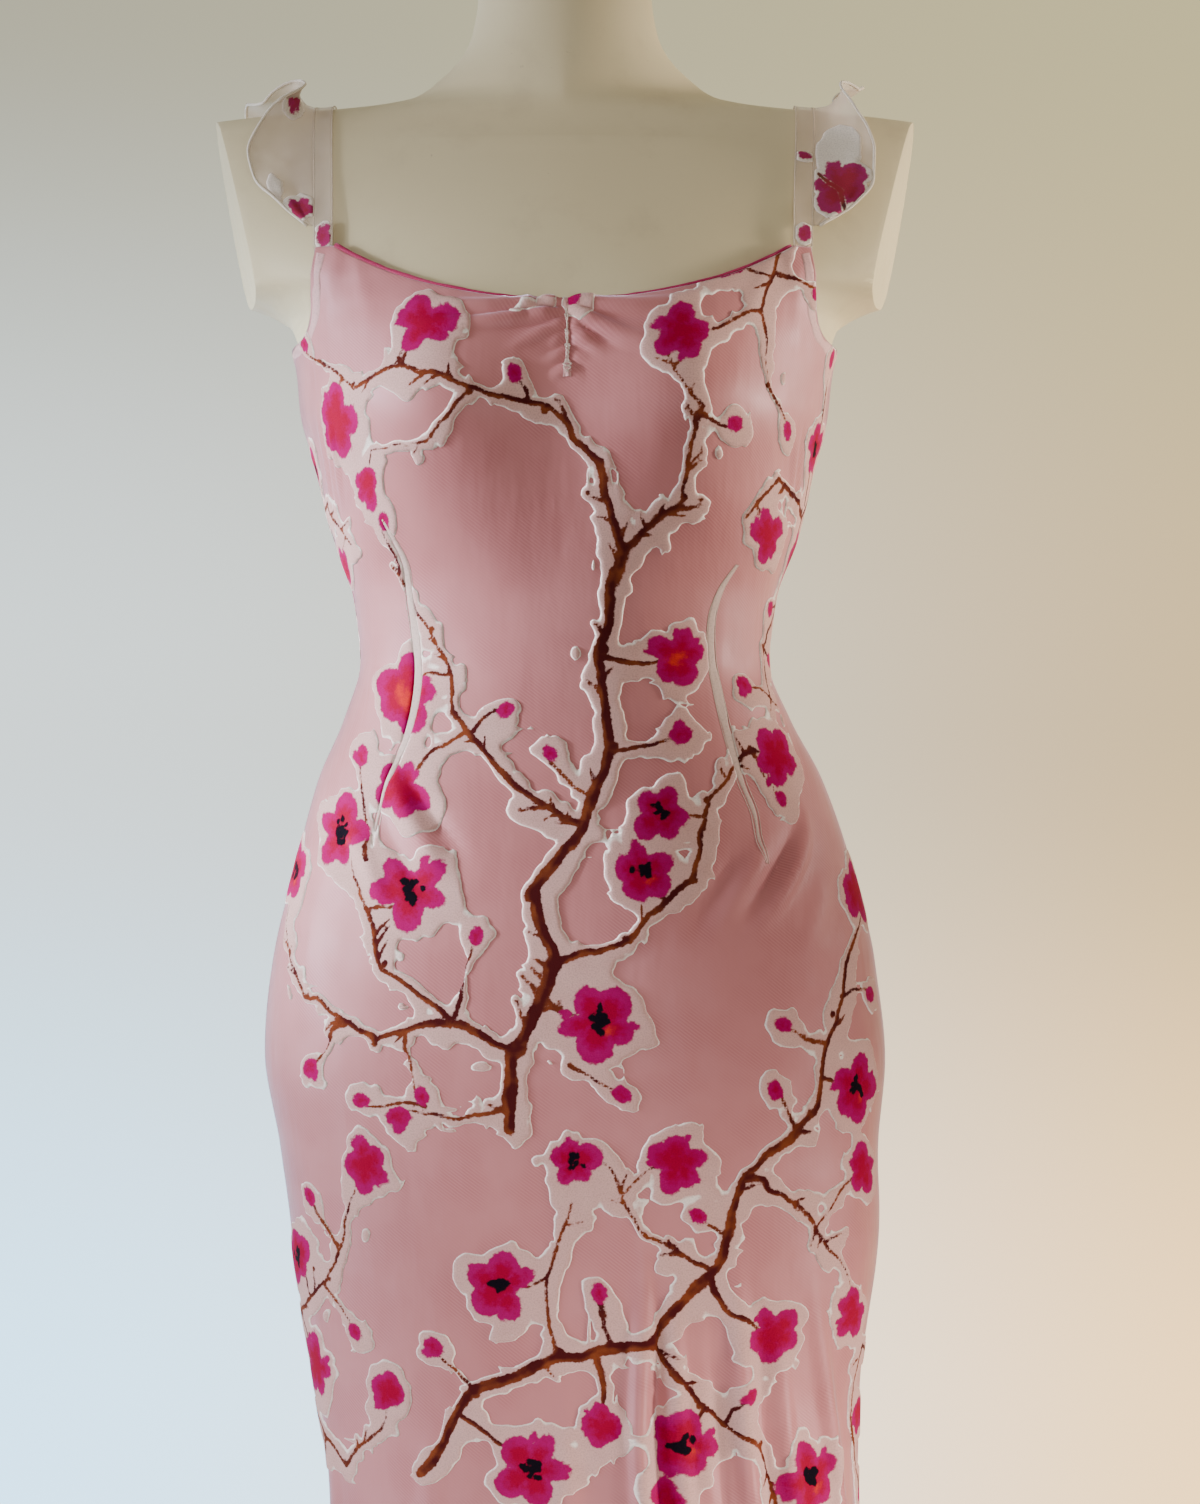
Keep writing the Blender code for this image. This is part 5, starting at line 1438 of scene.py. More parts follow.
def dress_side(side, finishes):
    """The outer cloth, the velvet on it, its darts, turnings and seams, and the lining of one side."""
    panel = Panel(side)
    ground, pile, satin, dart_cloth, edge_cloth, binding, thread = finishes
    outer = panel_sheet(panel, side + "_cloth", OUTER_MIDDLE, CLOTH_THICK, 0, 1, ground)
    first = int(np.searchsorted(panel.rows, LINING_HEM_Z))
    inner = panel_sheet(panel, side + "_satin", LINING_MIDDLE, LINING_THICK, first, 2, satin)
    widest = panel.halves.max() / MM
    made = draw_print(widest, HEM_Z / MM, STRAP_BASE_Z / MM + 2.0, **PRINT_LAYOUT[side])
    room = panel.room(made.S * MM, made.Z * MM) / MM
    field = np.minimum(velvet_outline(made), room - 0.5)
    for places in DARTS[side]:  # a dart's cloth interrupts the print
        away, share = nearest_on_line(made.S, made.Z, places)
        half = np.interp(share, np.linspace(0.0, 1.0, len(DART_WIDTHS)), DART_WIDTHS) / 2
        field = np.minimum(field, away - half * 0.9)
    velvet = velvet_piece(
        side + "_velvet", made, field, panel.on_cloth, pile, turned=side == "back",
    )
    trims = [velvet]
    for name, places in zip(("left", "right"), DARTS[side]):
        trims += dart_trims(side, panel, name, places, dart_cloth, thread)
    turnings = [
        ("%s_%s_armhole_turning" % (side, name), armhole_places(panel, hand), (5.6, 6.0, 5.8, 5.2))
        for name, hand in (("left", -1), ("right", 1))
    ]
    hem = [(share * panel.half(HEM_Z) * 0.994 / CM, HEM_Z / CM + 0.34) for share in np.linspace(-1, 1, 60)]
    turnings.append((side + "_hem_turning", hem, (6.0, 6.4, 6.0)))
    for title, places, widths in turnings:
        trims.append(band(title, panel, places, widths, TURNING_HEIGHT, edge_cloth))
    trims.append(neck_binding(panel, ROLL_RADII[side], binding))
    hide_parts(side + "_neck_binding")
    if side == "front":
        trims.append(gather_ridge(panel, edge_cloth))
        trims += gather_stitches(panel, thread)
    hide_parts(side + "_panel")
    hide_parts(side + "_lining")
    return panel, outer, inner, trims


def side_seams(front, back, thread):
    """The line where front and back are sewn together, as a shallow ridge of turned cloth."""
    heights = np.arange(HEM_Z + 0.006, UNDERARM_Z - 0.003, 0.003)
    seams = []
    for name, hand, column in (("left", -1.0, 0), ("right", 1.0, -1)):
        line = np.zeros((len(heights), 3))
        for panel in (front, back):
            edge = panel.base[:, column] + panel.normal[:, column] * OUTER_MIDDLE
            line += np.stack([np.interp(heights, edge[:, 2], edge[:, k]) for k in range(3)], axis=1) / 2
        line[:, 0] += hand * 0.15 * MM
        seams.append(tube(name + "_side_seam", line, 0.6 * MM, thread, sides=8))
    return seams


# ---------------------------------------------------------------- straps and ruffles
STRAP_STEPS = 132
STRAP_PIVOT = Vector((0.0, 0.008, 1.285))  # inside the shoulders; rays toward it find where a strap lies
STRAP_REACH = 0.40  # how far out they start
STRAP_ACROSS = 9
STRAP_CREST_SHARE = 0.55  # of its length, where it crosses the top of the shoulder
STRAP_END_STEPS = STRAP_STEPS * 7 / 44  # over which it goes from the form into the dress
STRAP_OFF_FORM = 1.7 * MM  # the middle of the strap's thickness, where it lies on the form
STRAP_AT_BASE = 4.0 * MM  # and where it goes between the dress and its lining
STRAP_TUCK = 0.006  # how far it goes down between them
TUCK_ROWS = 5
STRAP_THICK = 0.5 * MM
SMALL_PRINT_STEPS = {"strap": 0.6, "ruffle": 0.7}  # mm, of the grid that their pile is cut out on
STRAP_PATCHES = {  # where the pile is on each strap: from and to, in mm from its front end
    "left": ((2.0, 20.0),),
    "right": ((6.0, 19.0), (62.0, 68.0)),
}
RUFFLE_COLUMNS = ("share", "reach", "curl", "sway")
# At each share of the strap's length: the cloth's reach in m, how far it has curled up at its edge in
# degrees, and how far the edge leans along the strap toward the back in m.
RUFFLE_SHAPE = {
    "left": (
        (0.00, 0.004, 8, 0.000),
        (0.05, 0.019, 12, 0.000),
        (0.13, 0.034, 14, 0.000),
        (0.20, 0.037, 18, 0.000),
        (0.26, 0.030, 40, 0.001),
        (0.33, 0.018, 150, 0.003),
        (0.39, 0.021, 120, 0.001),
        (0.46, 0.032, 14, -0.010),
        (0.55, 0.048, 30, 0.003),
        (0.62, 0.044, 10, 0.005),
        (0.72, 0.032, 34, 0.000),
        (0.82, 0.028, 10, 0.000),
        (1.00, 0.004, 8, 0.000),
    ),
    "right": (
        (0.00, 0.004, 10, 0.000),
        (0.05, 0.023, 16, 0.000),
        (0.12, 0.034, 20, 0.000),
        (0.20, 0.034, 26, 0.000),
        (0.27, 0.028, 54, 0.000),
        (0.33, 0.024, 105, -0.002),
        (0.39, 0.030, 40, 0.000),
        (0.46, 0.034, 56, 0.002),
        (0.54, 0.024, 95, 0.000),
        (0.62, 0.024, 30, 0.000),
        (0.74, 0.028, 14, 0.000),
        (0.84, 0.022, 38, 0.000),
        (1.00, 0.004, 10, 0.000),
    ),
}
RUFFLE_LIFT = 8  # degrees that the cloth lifts off the shoulder where it is sewn to the strap
RUFFLE_GAP = 0.0008
RUFFLE_SPAN = (0.03, 0.86)  # of the strap's length that the ruffle is sewn to
RUFFLE_ACROSS = 20
RUFFLE_THICK = 0.35 * MM
RUFFLE_CRINKLE = 1.6 * MM
CRINKLE_SPAN = (260.0, 34.0)  # mm along and out, that the crinkles are spread over
RUFFLE_BLOSSOMS = {  # on the flat ruffle, in mm along it from the front and out from the strap
    "left": (((9.0, 8.0), 8.0, "plain", 20), ((80.0, 17.0), 6.0, "plain", 80)),
    "right": (((27.0, 15.0), 16.0, "plain", 35),),
}
RUFFLE_PATCHES = {  # undyed velvet: place, half length and half width in mm, turn
    "left": (((26.0, 22.0), 9.0, 5.0, 1.2),),
    "right": (((50.0, 14.0), 20.0, 13.0, 1.5),),
}
RUFFLE_TWIGS = {  # from and to, and the radius at each end
    "left": (),
    "right": (((34.0, 1.0), (24.0, 16.0), 1.4, 1.6), ((24.0, 16.0), (7.0, 17.0), 1.6, 1.1)),
}


def shoulder_hit(tree, x, angle):
    """Where a ray at this angle round the shoulder meets the form, and the form's normal there."""
    toward = Vector((0.0, math.cos(angle), math.sin(angle)))
    pivot = Vector((x, STRAP_PIVOT.y, STRAP_PIVOT.z))
    place, normal, _, _ = tree.ray_cast(pivot + toward * STRAP_REACH, -toward, STRAP_REACH)
    return place, normal


def angle_at_height(tree, x, z, low, high):
    """The angle round the shoulder at which the form is this high, found by halving."""
    for _ in range(40):
        middle = (low + high) / 2
        if shoulder_hit(tree, x, middle)[0].z < z:
            low = middle
        else:
            high = middle
    return (low + high) / 2


def strap_grid(tree, hand, front_base, back_base):
    """Points and normals on the form under a strap, from the front base over the shoulder to the back."""
    start = angle_at_height(tree, front_base.x, front_base.z, math.radians(215), math.radians(120))
    end = angle_at_height(tree, back_base.x, back_base.z, math.radians(-60), math.radians(60))
    places, normals = [], []
    for i in range(STRAP_STEPS + 1):
        t = i / STRAP_STEPS
        angle = start + (end - start) * t
        rise = math.sin(math.pi * min(t / STRAP_CREST_SHARE, 1.0) / 2)
        fall = float(smoothstep(STRAP_CREST_SHARE, 1.0, t))
        x = front_base.x + (hand * STRAP_CREST_X - front_base.x) * rise
        x += (back_base.x - hand * STRAP_CREST_X) * fall
        hits = [shoulder_hit(tree, x + hand * across * STRAP_WIDTH, angle)
                for across in np.linspace(-0.5, 0.5, STRAP_ACROSS)]
        places.append([hit[0] for hit in hits])
        normals.append([hit[1] for hit in hits])
    places, normals = np.array(places), np.array(normals)
    for _ in range(12):
        normals[1:-1] = (normals[:-2] + 2 * normals[1:-1] + normals[2:]) / 4
        normals[:, 1:-1] = (normals[:, :-2] + 2 * normals[:, 1:-1] + normals[:, 2:]) / 4
    return places, unit(normals)


def strap_and_ruffle(tree, hand_name, front, back, finishes):
    """One strap with its trims and length, and its ruffle as ruffle_piece returns it."""
    sheer = finishes[0]
    hand = -1 if hand_name == "left" else 1

    def base_of(panel, s, z):
        point = panel.on_skin(np.array(hand * s / panel.side_s), np.array(z))
        return Vector((point[0], point[1], z + SEAM_GAP))

    places, normals = strap_grid(
        tree, hand, base_of(front, FRONT_STRAP_S, STRAP_BASE_Z), base_of(back, BACK_STRAP_S, BACK_STRAP_Z)
    )
    count = np.arange(STRAP_STEPS + 1)
    from_end = np.minimum(count, count[::-1]) / STRAP_END_STEPS
    clear = STRAP_OFF_FORM + (STRAP_AT_BASE - STRAP_OFF_FORM) * (1 - smoothstep(0.0, 1.0, from_end))
    middle = places + normals * clear[:, None, None]
    across, step = np.meshgrid(np.linspace(-1.0, 1.0, STRAP_ACROSS), count)
    rolled = 0.30 * MM * np.exp(-(((np.abs(across) - 0.86) / 0.13) ** 2))
    slack = 0.25 * MM * soft_noise(step * 1.9, across * 3.0, 9.0, 81 + hand)
    middle = middle + normals * (rolled + slack * (1 - np.abs(across)))[..., None]
    tuck = np.linspace(1.0, 0.2, TUCK_ROWS)[:, None, None] * STRAP_TUCK * np.array([0.0, 0.0, -1.0])
    strap = np.concatenate([middle[:1] + tuck, middle, middle[-1:] + tuck[::-1]])
    length = lengths_along(strap[:, STRAP_ACROSS // 2])
    s, z = np.meshgrid(across[0] * STRAP_WIDTH / 2, length)
    cloth = grid_piece(hand_name + "_strap_cloth", strap, s, z, hand < 0, sheer)
    thicken(cloth, STRAP_THICK)
    normal = unit(np.pad(normals, ((TUCK_ROWS, TUCK_ROWS), (0, 0), (0, 0)), mode="edge"))

    def on_strap(s, z, height):
        column = (s / (STRAP_WIDTH / 2) + 1) * (STRAP_ACROSS - 1) / 2
        row = np.interp(z, length, np.arange(len(strap)))
        outward = unit(read_between(normal, row, column))
        return read_between(strap, row, column) + outward * (STRAP_THICK / 2 + height)[..., None]

    pieces = strap_trims(hand_name, hand, strap, normal, length, on_strap, finishes)
    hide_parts("strap_" + hand_name)
    outer_edge = middle[:, -1]
    outward = unit(middle[:, -1] - middle[:, 0])
    ruffle, ruffle_trims = ruffle_piece(hand_name, hand, outer_edge, normals[:, -1], outward, finishes)
    return (cloth, length[-1], pieces), (ruffle, ruffle_trims)


def strap_trims(hand_name, hand, strap, normal, length, on_strap, finishes):
    """The strap's two rolled edges and its patches of dyed velvet."""
    _, _, pile, _, strap_fold = finishes
    trims = []
    for name, column in (("inner", 0), ("outer", STRAP_ACROSS - 1)):
        line = (strap[:, column] + normal[:, column] * 0.15 * MM)[TUCK_ROWS - 1:1 - TUCK_ROWS]
        title = "%s_strap_%s_roll" % (hand_name, name)
        trims.append(tube(title, line, 0.32 * MM, strap_fold, sides=6))
    made = Print(STRAP_WIDTH / 2 / MM, 0.0, float(length[-1]) / MM, SMALL_PRINT_STEPS["strap"])
    pick = np.random.RandomState(91 + hand)
    for low, high in STRAP_PATCHES[hand_name]:
        middle, tall = (low + high) / 2, (high - low) / 2
        made.dab(made.petal, (pick.uniform(-0.6, 0.6), middle), 3.9, tall * 0.8, 0.0)
        made.dab(made.petal, (pick.uniform(-1.6, 1.6), middle + tall * 0.35), 2.8, tall * 0.55, 0.4)
        made.dab(made.heart, (pick.uniform(-0.6, 0.6), middle), 2.4, tall * 0.4, 0.0)
    field = np.maximum(made.petal + 1.6 + 0.9 * soft_noise(made.S, made.Z, 4.0, 92), FAR_OUTSIDE)
    field = np.minimum(field, STRAP_WIDTH / 2 / MM - 0.7 - np.abs(made.S))
    field[[0, 1, -2, -1]] = -1.0
    patch = velvet_piece(hand_name + "_strap_velvet", made, field, on_strap, pile,
                         turned=hand < 0, height=0.7 * MM)
    return trims + [patch]


def ruffle_piece(hand_name, hand, edge, normal, outward, finishes):
    """A half-moon flounce sewn to the strap's outer edge, which lies on the shoulder and curls up in waves.

    Returns the cloth with its length, its reach and its mean reach, and the trims on it."""
    _, sheer, pile, rolled_edge, _ = finishes
    first, last = (round(v * STRAP_STEPS) for v in RUFFLE_SPAN)
    edge, normal, outward = edge[first:last + 1], normal[first:last + 1], outward[first:last + 1]
    table = dict(zip(RUFFLE_COLUMNS, zip(*RUFFLE_SHAPE[hand_name])))
    share = np.linspace(0.0, 1.0, len(edge))
    reach, curl, sway = (monotone(table["share"], table[key], share) for key in RUFFLE_COLUMNS[1:])
    ahead = unit(np.gradient(edge, axis=0))
    place = edge + outward * RUFFLE_GAP * 0.3
    rings = [place]
    for j in range(1, RUFFLE_ACROSS + 1):
        out = j / RUFFLE_ACROSS
        angle = np.radians(RUFFLE_LIFT + (curl - RUFFLE_LIFT) * (out - 0.5 / RUFFLE_ACROSS))
        step = reach / RUFFLE_ACROSS
        place = place + outward * (step * np.cos(angle))[:, None] + normal * (step * np.sin(angle))[:, None]
        rings.append(place + ahead * (sway * out**2)[:, None])
    grid = np.array(rings).transpose(1, 0, 2)
    out_share = np.linspace(0.0, 1.0, RUFFLE_ACROSS + 1)
    along_mm, out_mm = np.meshgrid(share * CRINKLE_SPAN[0], out_share * CRINKLE_SPAN[1], indexing="ij")
    crinkle = 0.9 * soft_noise(out_mm, along_mm, 15.0, 83 + hand)
    crinkle += 0.35 * soft_noise(out_mm, along_mm, 6.0, 86 + hand)
    over = unit(np.cross(np.gradient(grid, axis=1), np.gradient(grid, axis=0)))
    grid = grid + over * (crinkle * out_share * RUFFLE_CRINKLE)[..., None]
    length = lengths_along(edge)
    flat_out = out_share * reach[:, None]
    along = np.repeat(length[:, None], RUFFLE_ACROSS + 1, axis=1)
    ruffle = grid_piece(
        hand_name + "_ruffle_cloth", grid, flat_out, along, hand < 0, sheer,
    )
    thicken(ruffle, RUFFLE_THICK)
    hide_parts("ruffle_" + hand_name)
    over = unit(np.cross(np.gradient(grid, axis=1), np.gradient(grid, axis=0)))
    over = over * np.sign(np.sum(over * normal[:, None], axis=2, keepdims=True))

    def on_ruffle(s, z, height):
        row = np.interp(z, length, np.arange(len(grid)))
        column = np.clip(s / np.interp(z, length, reach), 0.0, 1.0) * RUFFLE_ACROSS
        upward = unit(read_between(over, row, column))
        return read_between(grid, row, column) + upward * (RUFFLE_THICK / 2 + height)[..., None]

    trims = [tube(hand_name + "_ruffle_roll", grid[:, -1], 0.90 * MM, rolled_edge, sides=6)]
    reach_mm = float(max(reach)) / MM
    made = Print(reach_mm, 0.0, float(length[-1]) / MM, SMALL_PRINT_STEPS["ruffle"])
    pick = np.random.RandomState(95 + hand)
    for (at, out), radius, kind, turn in RUFFLE_BLOSSOMS[hand_name]:
        blossom(made, (out, at), radius, kind, math.radians(turn), pick)
    for (at, out), (end_at, end_out), thick, thin in RUFFLE_TWIGS[hand_name]:
        made.stroke(made.bark, (out, at), (end_out, end_at), thick, thin)
    made.petal = np.minimum(made.petal, -made.bark)
    for (at, out), along_it, across_it, turn in RUFFLE_PATCHES[hand_name]:
        made.dab(made.chip, (out, at), along_it, across_it, turn)
    printed = np.maximum(np.maximum(made.petal + 2.2, made.bark + 2.6), made.chip)
    field = printed + 0.8 * soft_noise(made.S, made.Z, 5.0, 93)
    wide = np.interp(made.Z, length / MM, reach / MM)
    field = np.minimum(field, np.minimum(wide - 0.8 - made.S, made.S - 0.4))
    field[[0, 1, -2, -1]] = -1.0
    trims.append(velvet_piece(hand_name + "_ruffle_velvet", made, field, on_ruffle, pile,
                              turned=hand < 0, height=0.8 * MM))
    return (ruffle, float(length[-1]), float(max(reach)), float(np.mean(reach))), trims


# ---------------------------------------------------------------- the dress form and its stand
FORM_SIDES = 144
NECK_HALF_WIDTH, NECK_LOW_Z = 0.085, 1.325  # of the part that is smoothed, where the neck meets the shoulders
BASE_INSETS = (0.012, 0.0025, 0.118, 0.003)  # of the rings turned into the top of the base plate


def form_heights():
    """Heights of the form's rings, closest where it curves most."""
    return in_steps(
        (FORM_BOTTOM_Z, 0.98, 0.020), (0.98, 1.10, 0.010), (1.10, 1.225, 0.007), (1.225, 1.26, 0.0025),
        (1.26, 1.33, 0.006), (1.33, 1.372, 0.0018), (1.372, FORM_TOP_Z, 0.006),
    )


def select_in(obj, rule, kind):
    """Selects, in edit mode, the vertices, edges or faces that a rule picks."""
    bpy.ops.mesh.select_mode(type=kind)
    bpy.ops.mesh.select_all(action="DESELECT")
    bpy.ops.object.mode_set(mode="OBJECT")
    items = {"VERT": obj.data.vertices, "EDGE": obj.data.edges, "FACE": obj.data.polygons}[kind]
    for item in items:
        item.select = rule(item)
    bpy.ops.object.mode_set(mode="EDIT")
    bpy.ops.mesh.select_mode(type=kind)


def placed(obj):
    """Puts an object's place into its mesh."""
    select_only(obj)
    bpy.ops.object.transform_apply(location=True, rotation=True, scale=True)
    obj.select_set(False)


def torso(material):
    """The torso with its neck and arm stubs.

    A circle is drawn up into rings, which are shaped to the skin, cut off at the stubs and filled."""
    heights = form_heights()
    bpy.ops.object.select_all(action="DESELECT")
    bpy.ops.mesh.primitive_circle_add(vertices=FORM_SIDES, radius=1.0, location=(0.0, 0.0, 0.0))
    form = bpy.context.object
    form.name = form.data.name = "torso_shell"
    bpy.ops.object.mode_set(mode="EDIT")
    for _ in heights[1:]:
        bpy.ops.mesh.extrude_region_move(TRANSFORM_OT_translate={"value": (0.0, 0.0, 1.0)})
    bpy.ops.object.mode_set(mode="OBJECT")
    count = len(form.data.vertices)
    corners = np.zeros(count * 3)
    form.data.vertices.foreach_get("co", corners)
    corners = corners.reshape(-1, 3)
    angle = np.arctan2(corners[:, 1], corners[:, 0])
    ring = np.round(corners[:, 2]).astype(int)
    shaped = np.zeros_like(corners)
    for k, z in enumerate(heights):
        here = ring == k
        x, y = skin_ring(z, angle[here], -float(form_inset(z)), BUST["depth"] - BUST_EASE)
        shaped[here] = np.stack([x, y, np.full(here.sum(), z)], axis=1)
    form.data.vertices.foreach_set("co", shaped.ravel())
    form.data.update()
    bpy.ops.object.mode_set(mode="EDIT")

    def at_neck(vertex):
        return abs(vertex.co.x) < NECK_HALF_WIDTH and NECK_LOW_Z < vertex.co.z < FORM_TOP_Z - 0.001

    select_in(form, at_neck, "VERT")
    bpy.ops.mesh.vertices_smooth(factor=0.5, repeat=60, xaxis=False, yaxis=True, zaxis=False)
    for end in (FORM_BOTTOM_Z, FORM_TOP_Z):
        select_in(form, lambda vertex: abs(vertex.co.z - end) < 1e-6, "VERT")
        bpy.ops.mesh.edge_face_add()
    for hand in (-1, 1):
        corners = form.data.vertices
        select_in(form, lambda face: all(corners[i].co.z > STUB_CUT_ABOVE_Z for i in face.vertices), "FACE")
        bpy.ops.mesh.bisect(
            plane_co=(hand * STUB_FACE["x"], 0.0, STUB_FACE["z"]),
            plane_no=(hand, -STUB_FACE["turn"], -STUB_FACE["lean"]), use_fill=True, clear_outer=True,
        )
    bpy.ops.mesh.select_all(action="SELECT")
    bpy.ops.mesh.normals_make_consistent(inside=False)
    bpy.ops.object.mode_set(mode="OBJECT")
    round_edges(form, 0.0022, 3, sharp=42, smooth=40)
    form.data.materials.clear()
    form.data.materials.append(material)
    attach(form, "root")
    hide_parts("form_torso")
    return form


def shoulder_tree(form):
    """The form's surface, for laying the straps on it."""
    corners = [vertex.co for vertex in form.data.vertices]
    return BVHTree.FromPolygons(corners, [tuple(face.vertices) for face in form.data.polygons])


def turned_steel(name, node_name, radius, heights, sides, rounding, material, shaping=None):
    """A round piece of the stand with rounded edges."""
    low, high = heights
    bpy.ops.object.select_all(action="DESELECT")
    bpy.ops.mesh.primitive_cylinder_add(vertices=sides, radius=radius, depth=high - low,
                                        location=(0.0, 0.0, (low + high) / 2))
    made = bpy.context.object
    made.name = made.data.name = name
    placed(made)
    if shaping:
        select_only(made)
        bpy.ops.object.mode_set(mode="EDIT")
        shaping(made)
        bpy.ops.object.mode_set(mode="OBJECT")
    round_edges(made, rounding, 4, sharp=30, smooth=35)
    made.data.materials.append(material)
    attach(made, "root")
    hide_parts(node_name)
    return made


def base_plate_step(plate):
    """Flat rings inset into the plate's top face, near its rim and round the pole."""
    select_in(plate, lambda face: face.normal.z > 0.9 and face.center.z > BASE_THICK - 1e-5, "FACE")
    for width in BASE_INSETS:
        bpy.ops.mesh.inset(thickness=width)


def stand(material):
    """The base plate and the pole that hold the form up."""
    plate = (0.0, BASE_THICK)
    pole = (BASE_THICK + JOINT_GAP, FORM_BOTTOM_Z - JOINT_GAP)
    turned_steel("base_plate", "stand_base", BASE_RADIUS, plate, 96, 0.0028, material, base_plate_step)
    turned_steel("pole", "stand_pole", POLE_RADIUS, pole, 48, 0.0006, material)


# ---------------------------------------------------------------- all of it together
def whole_object():
    """The form on its stand and the dress on the form."""
    ground, satin = ground_cloth(), lining_cloth()
    pile = pile_velvet("printed_velvet_pile", dye(208, 165, 160), dye(221, 181, 176))
    unlined_pile = pile_velvet("unlined_velvet_pile", dye(232, 222, 210), dye(243, 236, 226), 0.035)
    sheer, flounce_silk = sheer_cloth("sheer_silk", 0.34), sheer_cloth("flounce_silk", 0.46)
    dart_cloth = sewn_edge("dart_cloth", dye(198, 170, 163), dye(216, 192, 184), sheen=0.2, grain=0.0012)
    edge_cloth = sewn_edge("turned_edge", dye(208, 158, 160), dye(222, 178, 180), grain=0.0012)
    rolled = sewn_edge("rolled_edge", dye(232, 222, 206), dye(246, 238, 226))
    binding = sewn_edge("magenta_roll", dye(150, 14, 70), dye(178, 26, 92), sheen=0.4)
    thread = sewn_edge("cream_thread", dye(208, 186, 176), dye(226, 208, 198), grain=0.0006)
    strap_fold = sewn_edge("strap_fold", dye(206, 190, 172), dye(220, 206, 190), sheen=0.3)
    shell, steel = painted_shell(), brushed_steel()
    form = torso(shell)
    tree = shoulder_tree(form)
    stand(steel)
    finishes = (ground, pile, satin, dart_cloth, edge_cloth, binding, thread)
    front, front_cloth, front_satin, front_trims = dress_side("front", finishes)
    back, back_cloth, back_satin, back_trims = dress_side("back", finishes)
    back_trims += side_seams(front, back, edge_cloth)
    finishes = (sheer, flounce_silk, unlined_pile, rolled, strap_fold)
    for hand_name in ("left", "right"):
        strap, ruffle = strap_and_ruffle(tree, hand_name, front, back, finishes)


# ---------------------------------------------------------------- floor, light and camera
# Light from the wall behind and from the room's sides, as (left, right), and from the dim room in front.
WALL_LIGHT = {
    "top": ((0.58, 0.56, 0.42, 1.0), (0.79, 0.69, 0.36, 1.0)),
    "middle": ((1.28, 1.46, 1.50, 1.0), (1.13, 0.81, 0.40, 1.0)),
    "foot": ((1.50, 2.80, 3.90, 1.0), (2.95, 1.82, 0.72, 1.0)),
}
SIDE_LIGHT = ((0.62, 0.66, 0.76, 1.0), (0.245, 0.185, 0.115, 1.0))
FRONT_LIGHT = (0.184, 0.157, 0.122, 1.0)
FRONT_BELOW = (0.40, 0.355, 0.30, 1.0)
CEILING_LIGHT = (0.62, 0.55, 0.41, 1.0)
FLOOR_LIGHT = (0.80, 0.76, 0.70, 1.0)
# Name, place, what it points at, size in m, power in W, spread in degrees and colour.
LIGHTS = (
    ("window_left", (-2.0, -0.45, 1.20), (0.0, 0.0, 1.18), 1.2, 4.0, 46, (0.90, 0.92, 1.0)),
    ("window_waist", (-2.0, -0.30, 1.35), (-0.13, 0.0, 1.03), 0.4, 1.0, 8, (0.92, 0.96, 1.0)),
    ("window_foot", (-2.0, -0.70, 0.35), (0.0, 0.0, 0.46), 0.8, 1.7, 34, (0.90, 0.92, 1.0)),
    ("lamp_right", (1.9, 0.20, 1.3), (0.0, 0.0, 1.19), 0.4, 1.0, 15, (1.0, 0.87, 0.72)),
    ("lamp_foot", (1.9, -0.60, 0.4), (0.0, 0.0, 0.52), 0.4, 1.0, 20, (1.0, 0.84, 0.72)),
    ("chest_fill", (0.45, -2.0, 0.95), (0.0, 0.0, 1.26), 0.3, 0.075, 14, (1.0, 0.96, 0.88)),
    ("low_fill", (0.35, -2.0, 0.35), (0.05, 0.0, 0.43), 0.8, 0.95, 27, (1.0, 0.92, 0.90)),
)
CAMERA_PLACE = (0.0206, -1.6, 0.983)
FRAME_HEIGHT = 0.8847  # of what the camera sees at the object's middle, 1.6 m away


def area_light(name, place, target, size, power, spread_degrees, colour):
    """A square lamp that the camera doesn't see."""
    light = bpy.data.lights.new(name, "AREA")
    light.shape, light.size, light.energy, light.color = "SQUARE", size, power, colour
    light.spread = math.radians(spread_degrees)
    obj = bpy.data.objects.new(name, light)
    obj.location = place
    obj.rotation_euler = (Vector(target) - Vector(place)).to_track_quat("-Z", "Y").to_euler()
    bpy.context.scene.collection.objects.link(obj)
    obj.visible_camera = False


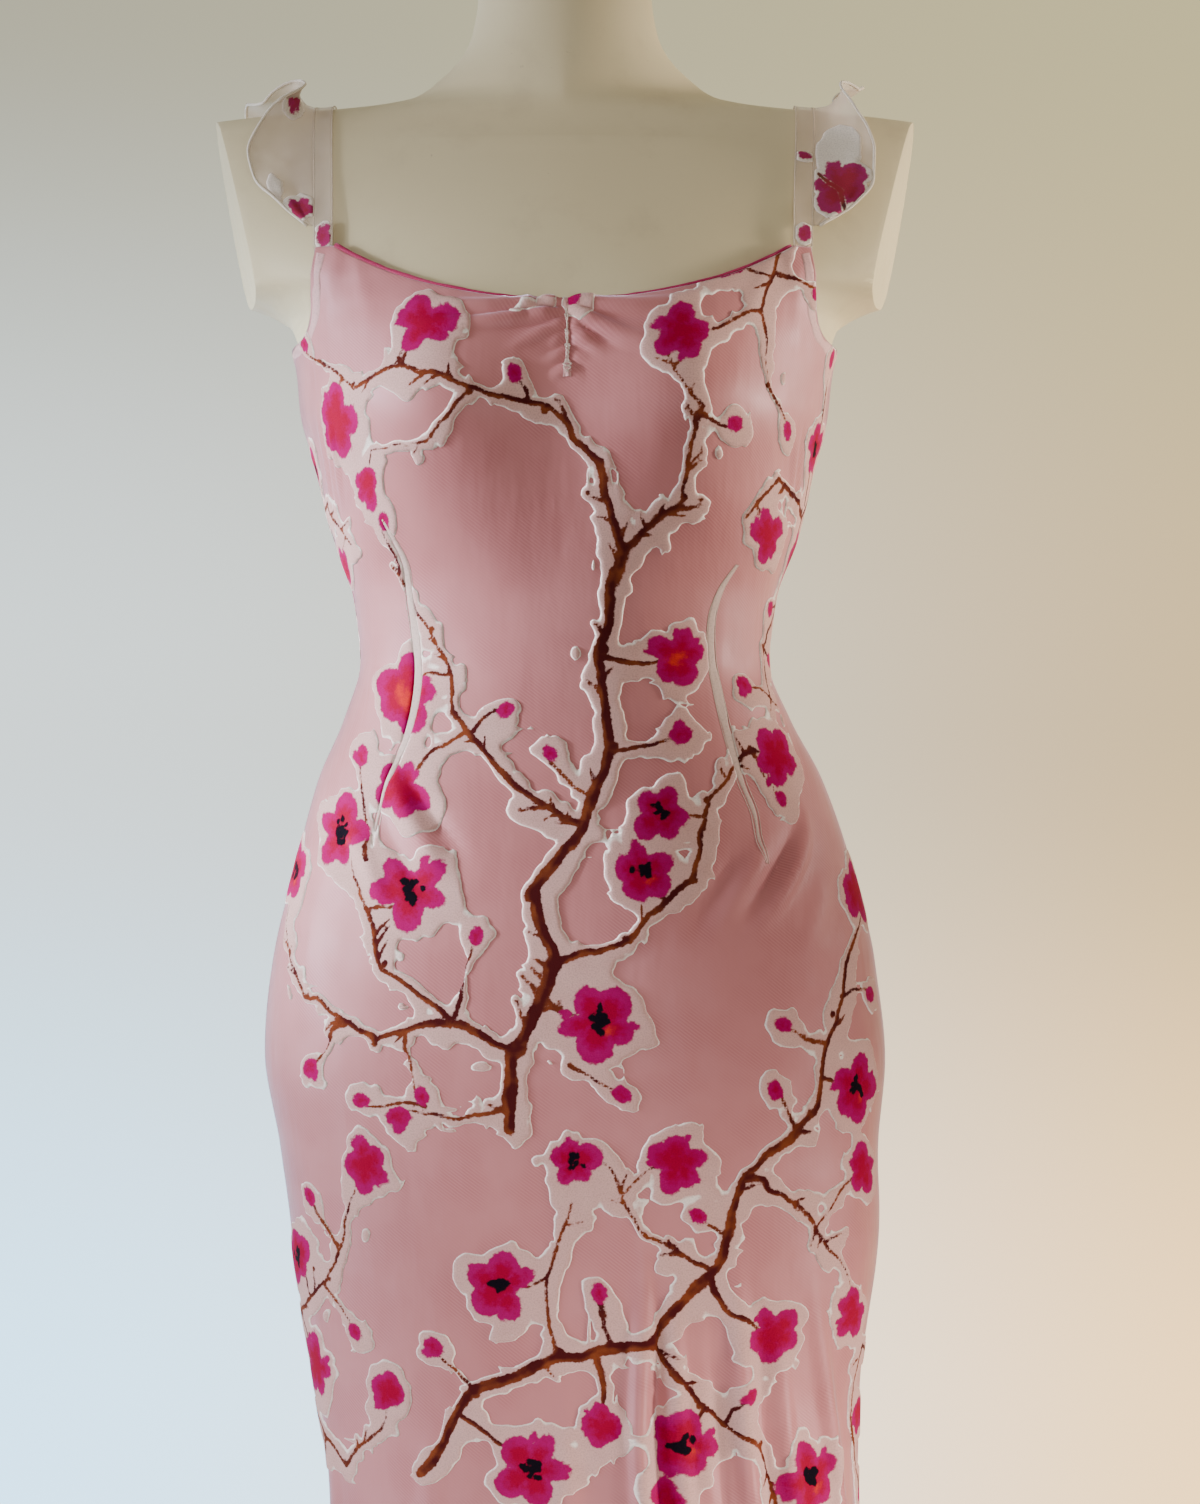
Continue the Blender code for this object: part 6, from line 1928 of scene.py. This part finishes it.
def room():
    """The floor, which is staging only, the light and the camera."""
    bpy.ops.object.select_all(action="DESELECT")
    bpy.ops.mesh.primitive_circle_add(vertices=64, radius=1.3, fill_type="NGON", location=(0.0, 0.0, -0.0005))
    floor = bpy.context.object
    floor.name = "floor"
    floor.data.materials.append(pale_floor())
    floor.select_set(False)
    world = bpy.data.worlds.new("studio")
    bpy.context.scene.world = world
    world.use_nodes = True
    tree = world.node_tree
    tree.nodes.clear()
    where = tree.nodes.new("ShaderNodeTexCoord").outputs["Generated"]
    split = tree.nodes.new("ShaderNodeSeparateXYZ")
    tree.links.new(where, split.inputs[0])
    aside, height = split.outputs["X"], split.outputs["Z"]
    to_right = spread(tree, aside, -0.27, 0.27)
    top, middle, foot = (mixed(tree, to_right, *WALL_LIGHT[part]) for part in ("top", "middle", "foot"))
    wall = mixed(tree, spread(tree, height, 0.02, 0.27), middle, top)
    wall = mixed(tree, spread(tree, height, 0.02, -0.27), wall, foot)
    wall = mixed(tree, spread(tree, height, -0.27, -0.60), wall, FLOOR_LIGHT)
    sides = mixed(tree, spread(tree, aside, -0.6, 0.6), *SIDE_LIGHT)
    colour = mixed(tree, spread(tree, split.outputs["Y"], 0.80, 0.30), wall, sides)
    front = mixed(tree, spread(tree, height, 0.1, 0.9), FRONT_LIGHT, CEILING_LIGHT)
    front = mixed(tree, spread(tree, height, -0.05, -0.45), front, FRONT_BELOW)
    colour = mixed(tree, spread(tree, split.outputs["Y"], 0.25, -0.85), colour, front)
    sky = tree.nodes.new("ShaderNodeBackground")
    tree.links.new(colour, sky.inputs["Color"])
    out = tree.nodes.new("ShaderNodeOutputWorld")
    tree.links.new(sky.outputs[0], out.inputs["Surface"])
    for light in LIGHTS:
        area_light(*light)
    lens = bpy.data.cameras.new("camera")
    camera = bpy.data.objects.new("camera", lens)
    camera.location = CAMERA_PLACE
    camera.rotation_euler = (math.radians(90), 0.0, 0.0)
    lens.sensor_width = 36.0
    lens.lens = 36.0 * -CAMERA_PLACE[1] / FRAME_HEIGHT
    lens.clip_start, lens.clip_end = 0.05, 50.0
    bpy.context.scene.collection.objects.link(camera)
    bpy.context.scene.camera = camera


whole_object()
room()
bpy.context.view_layer.update()
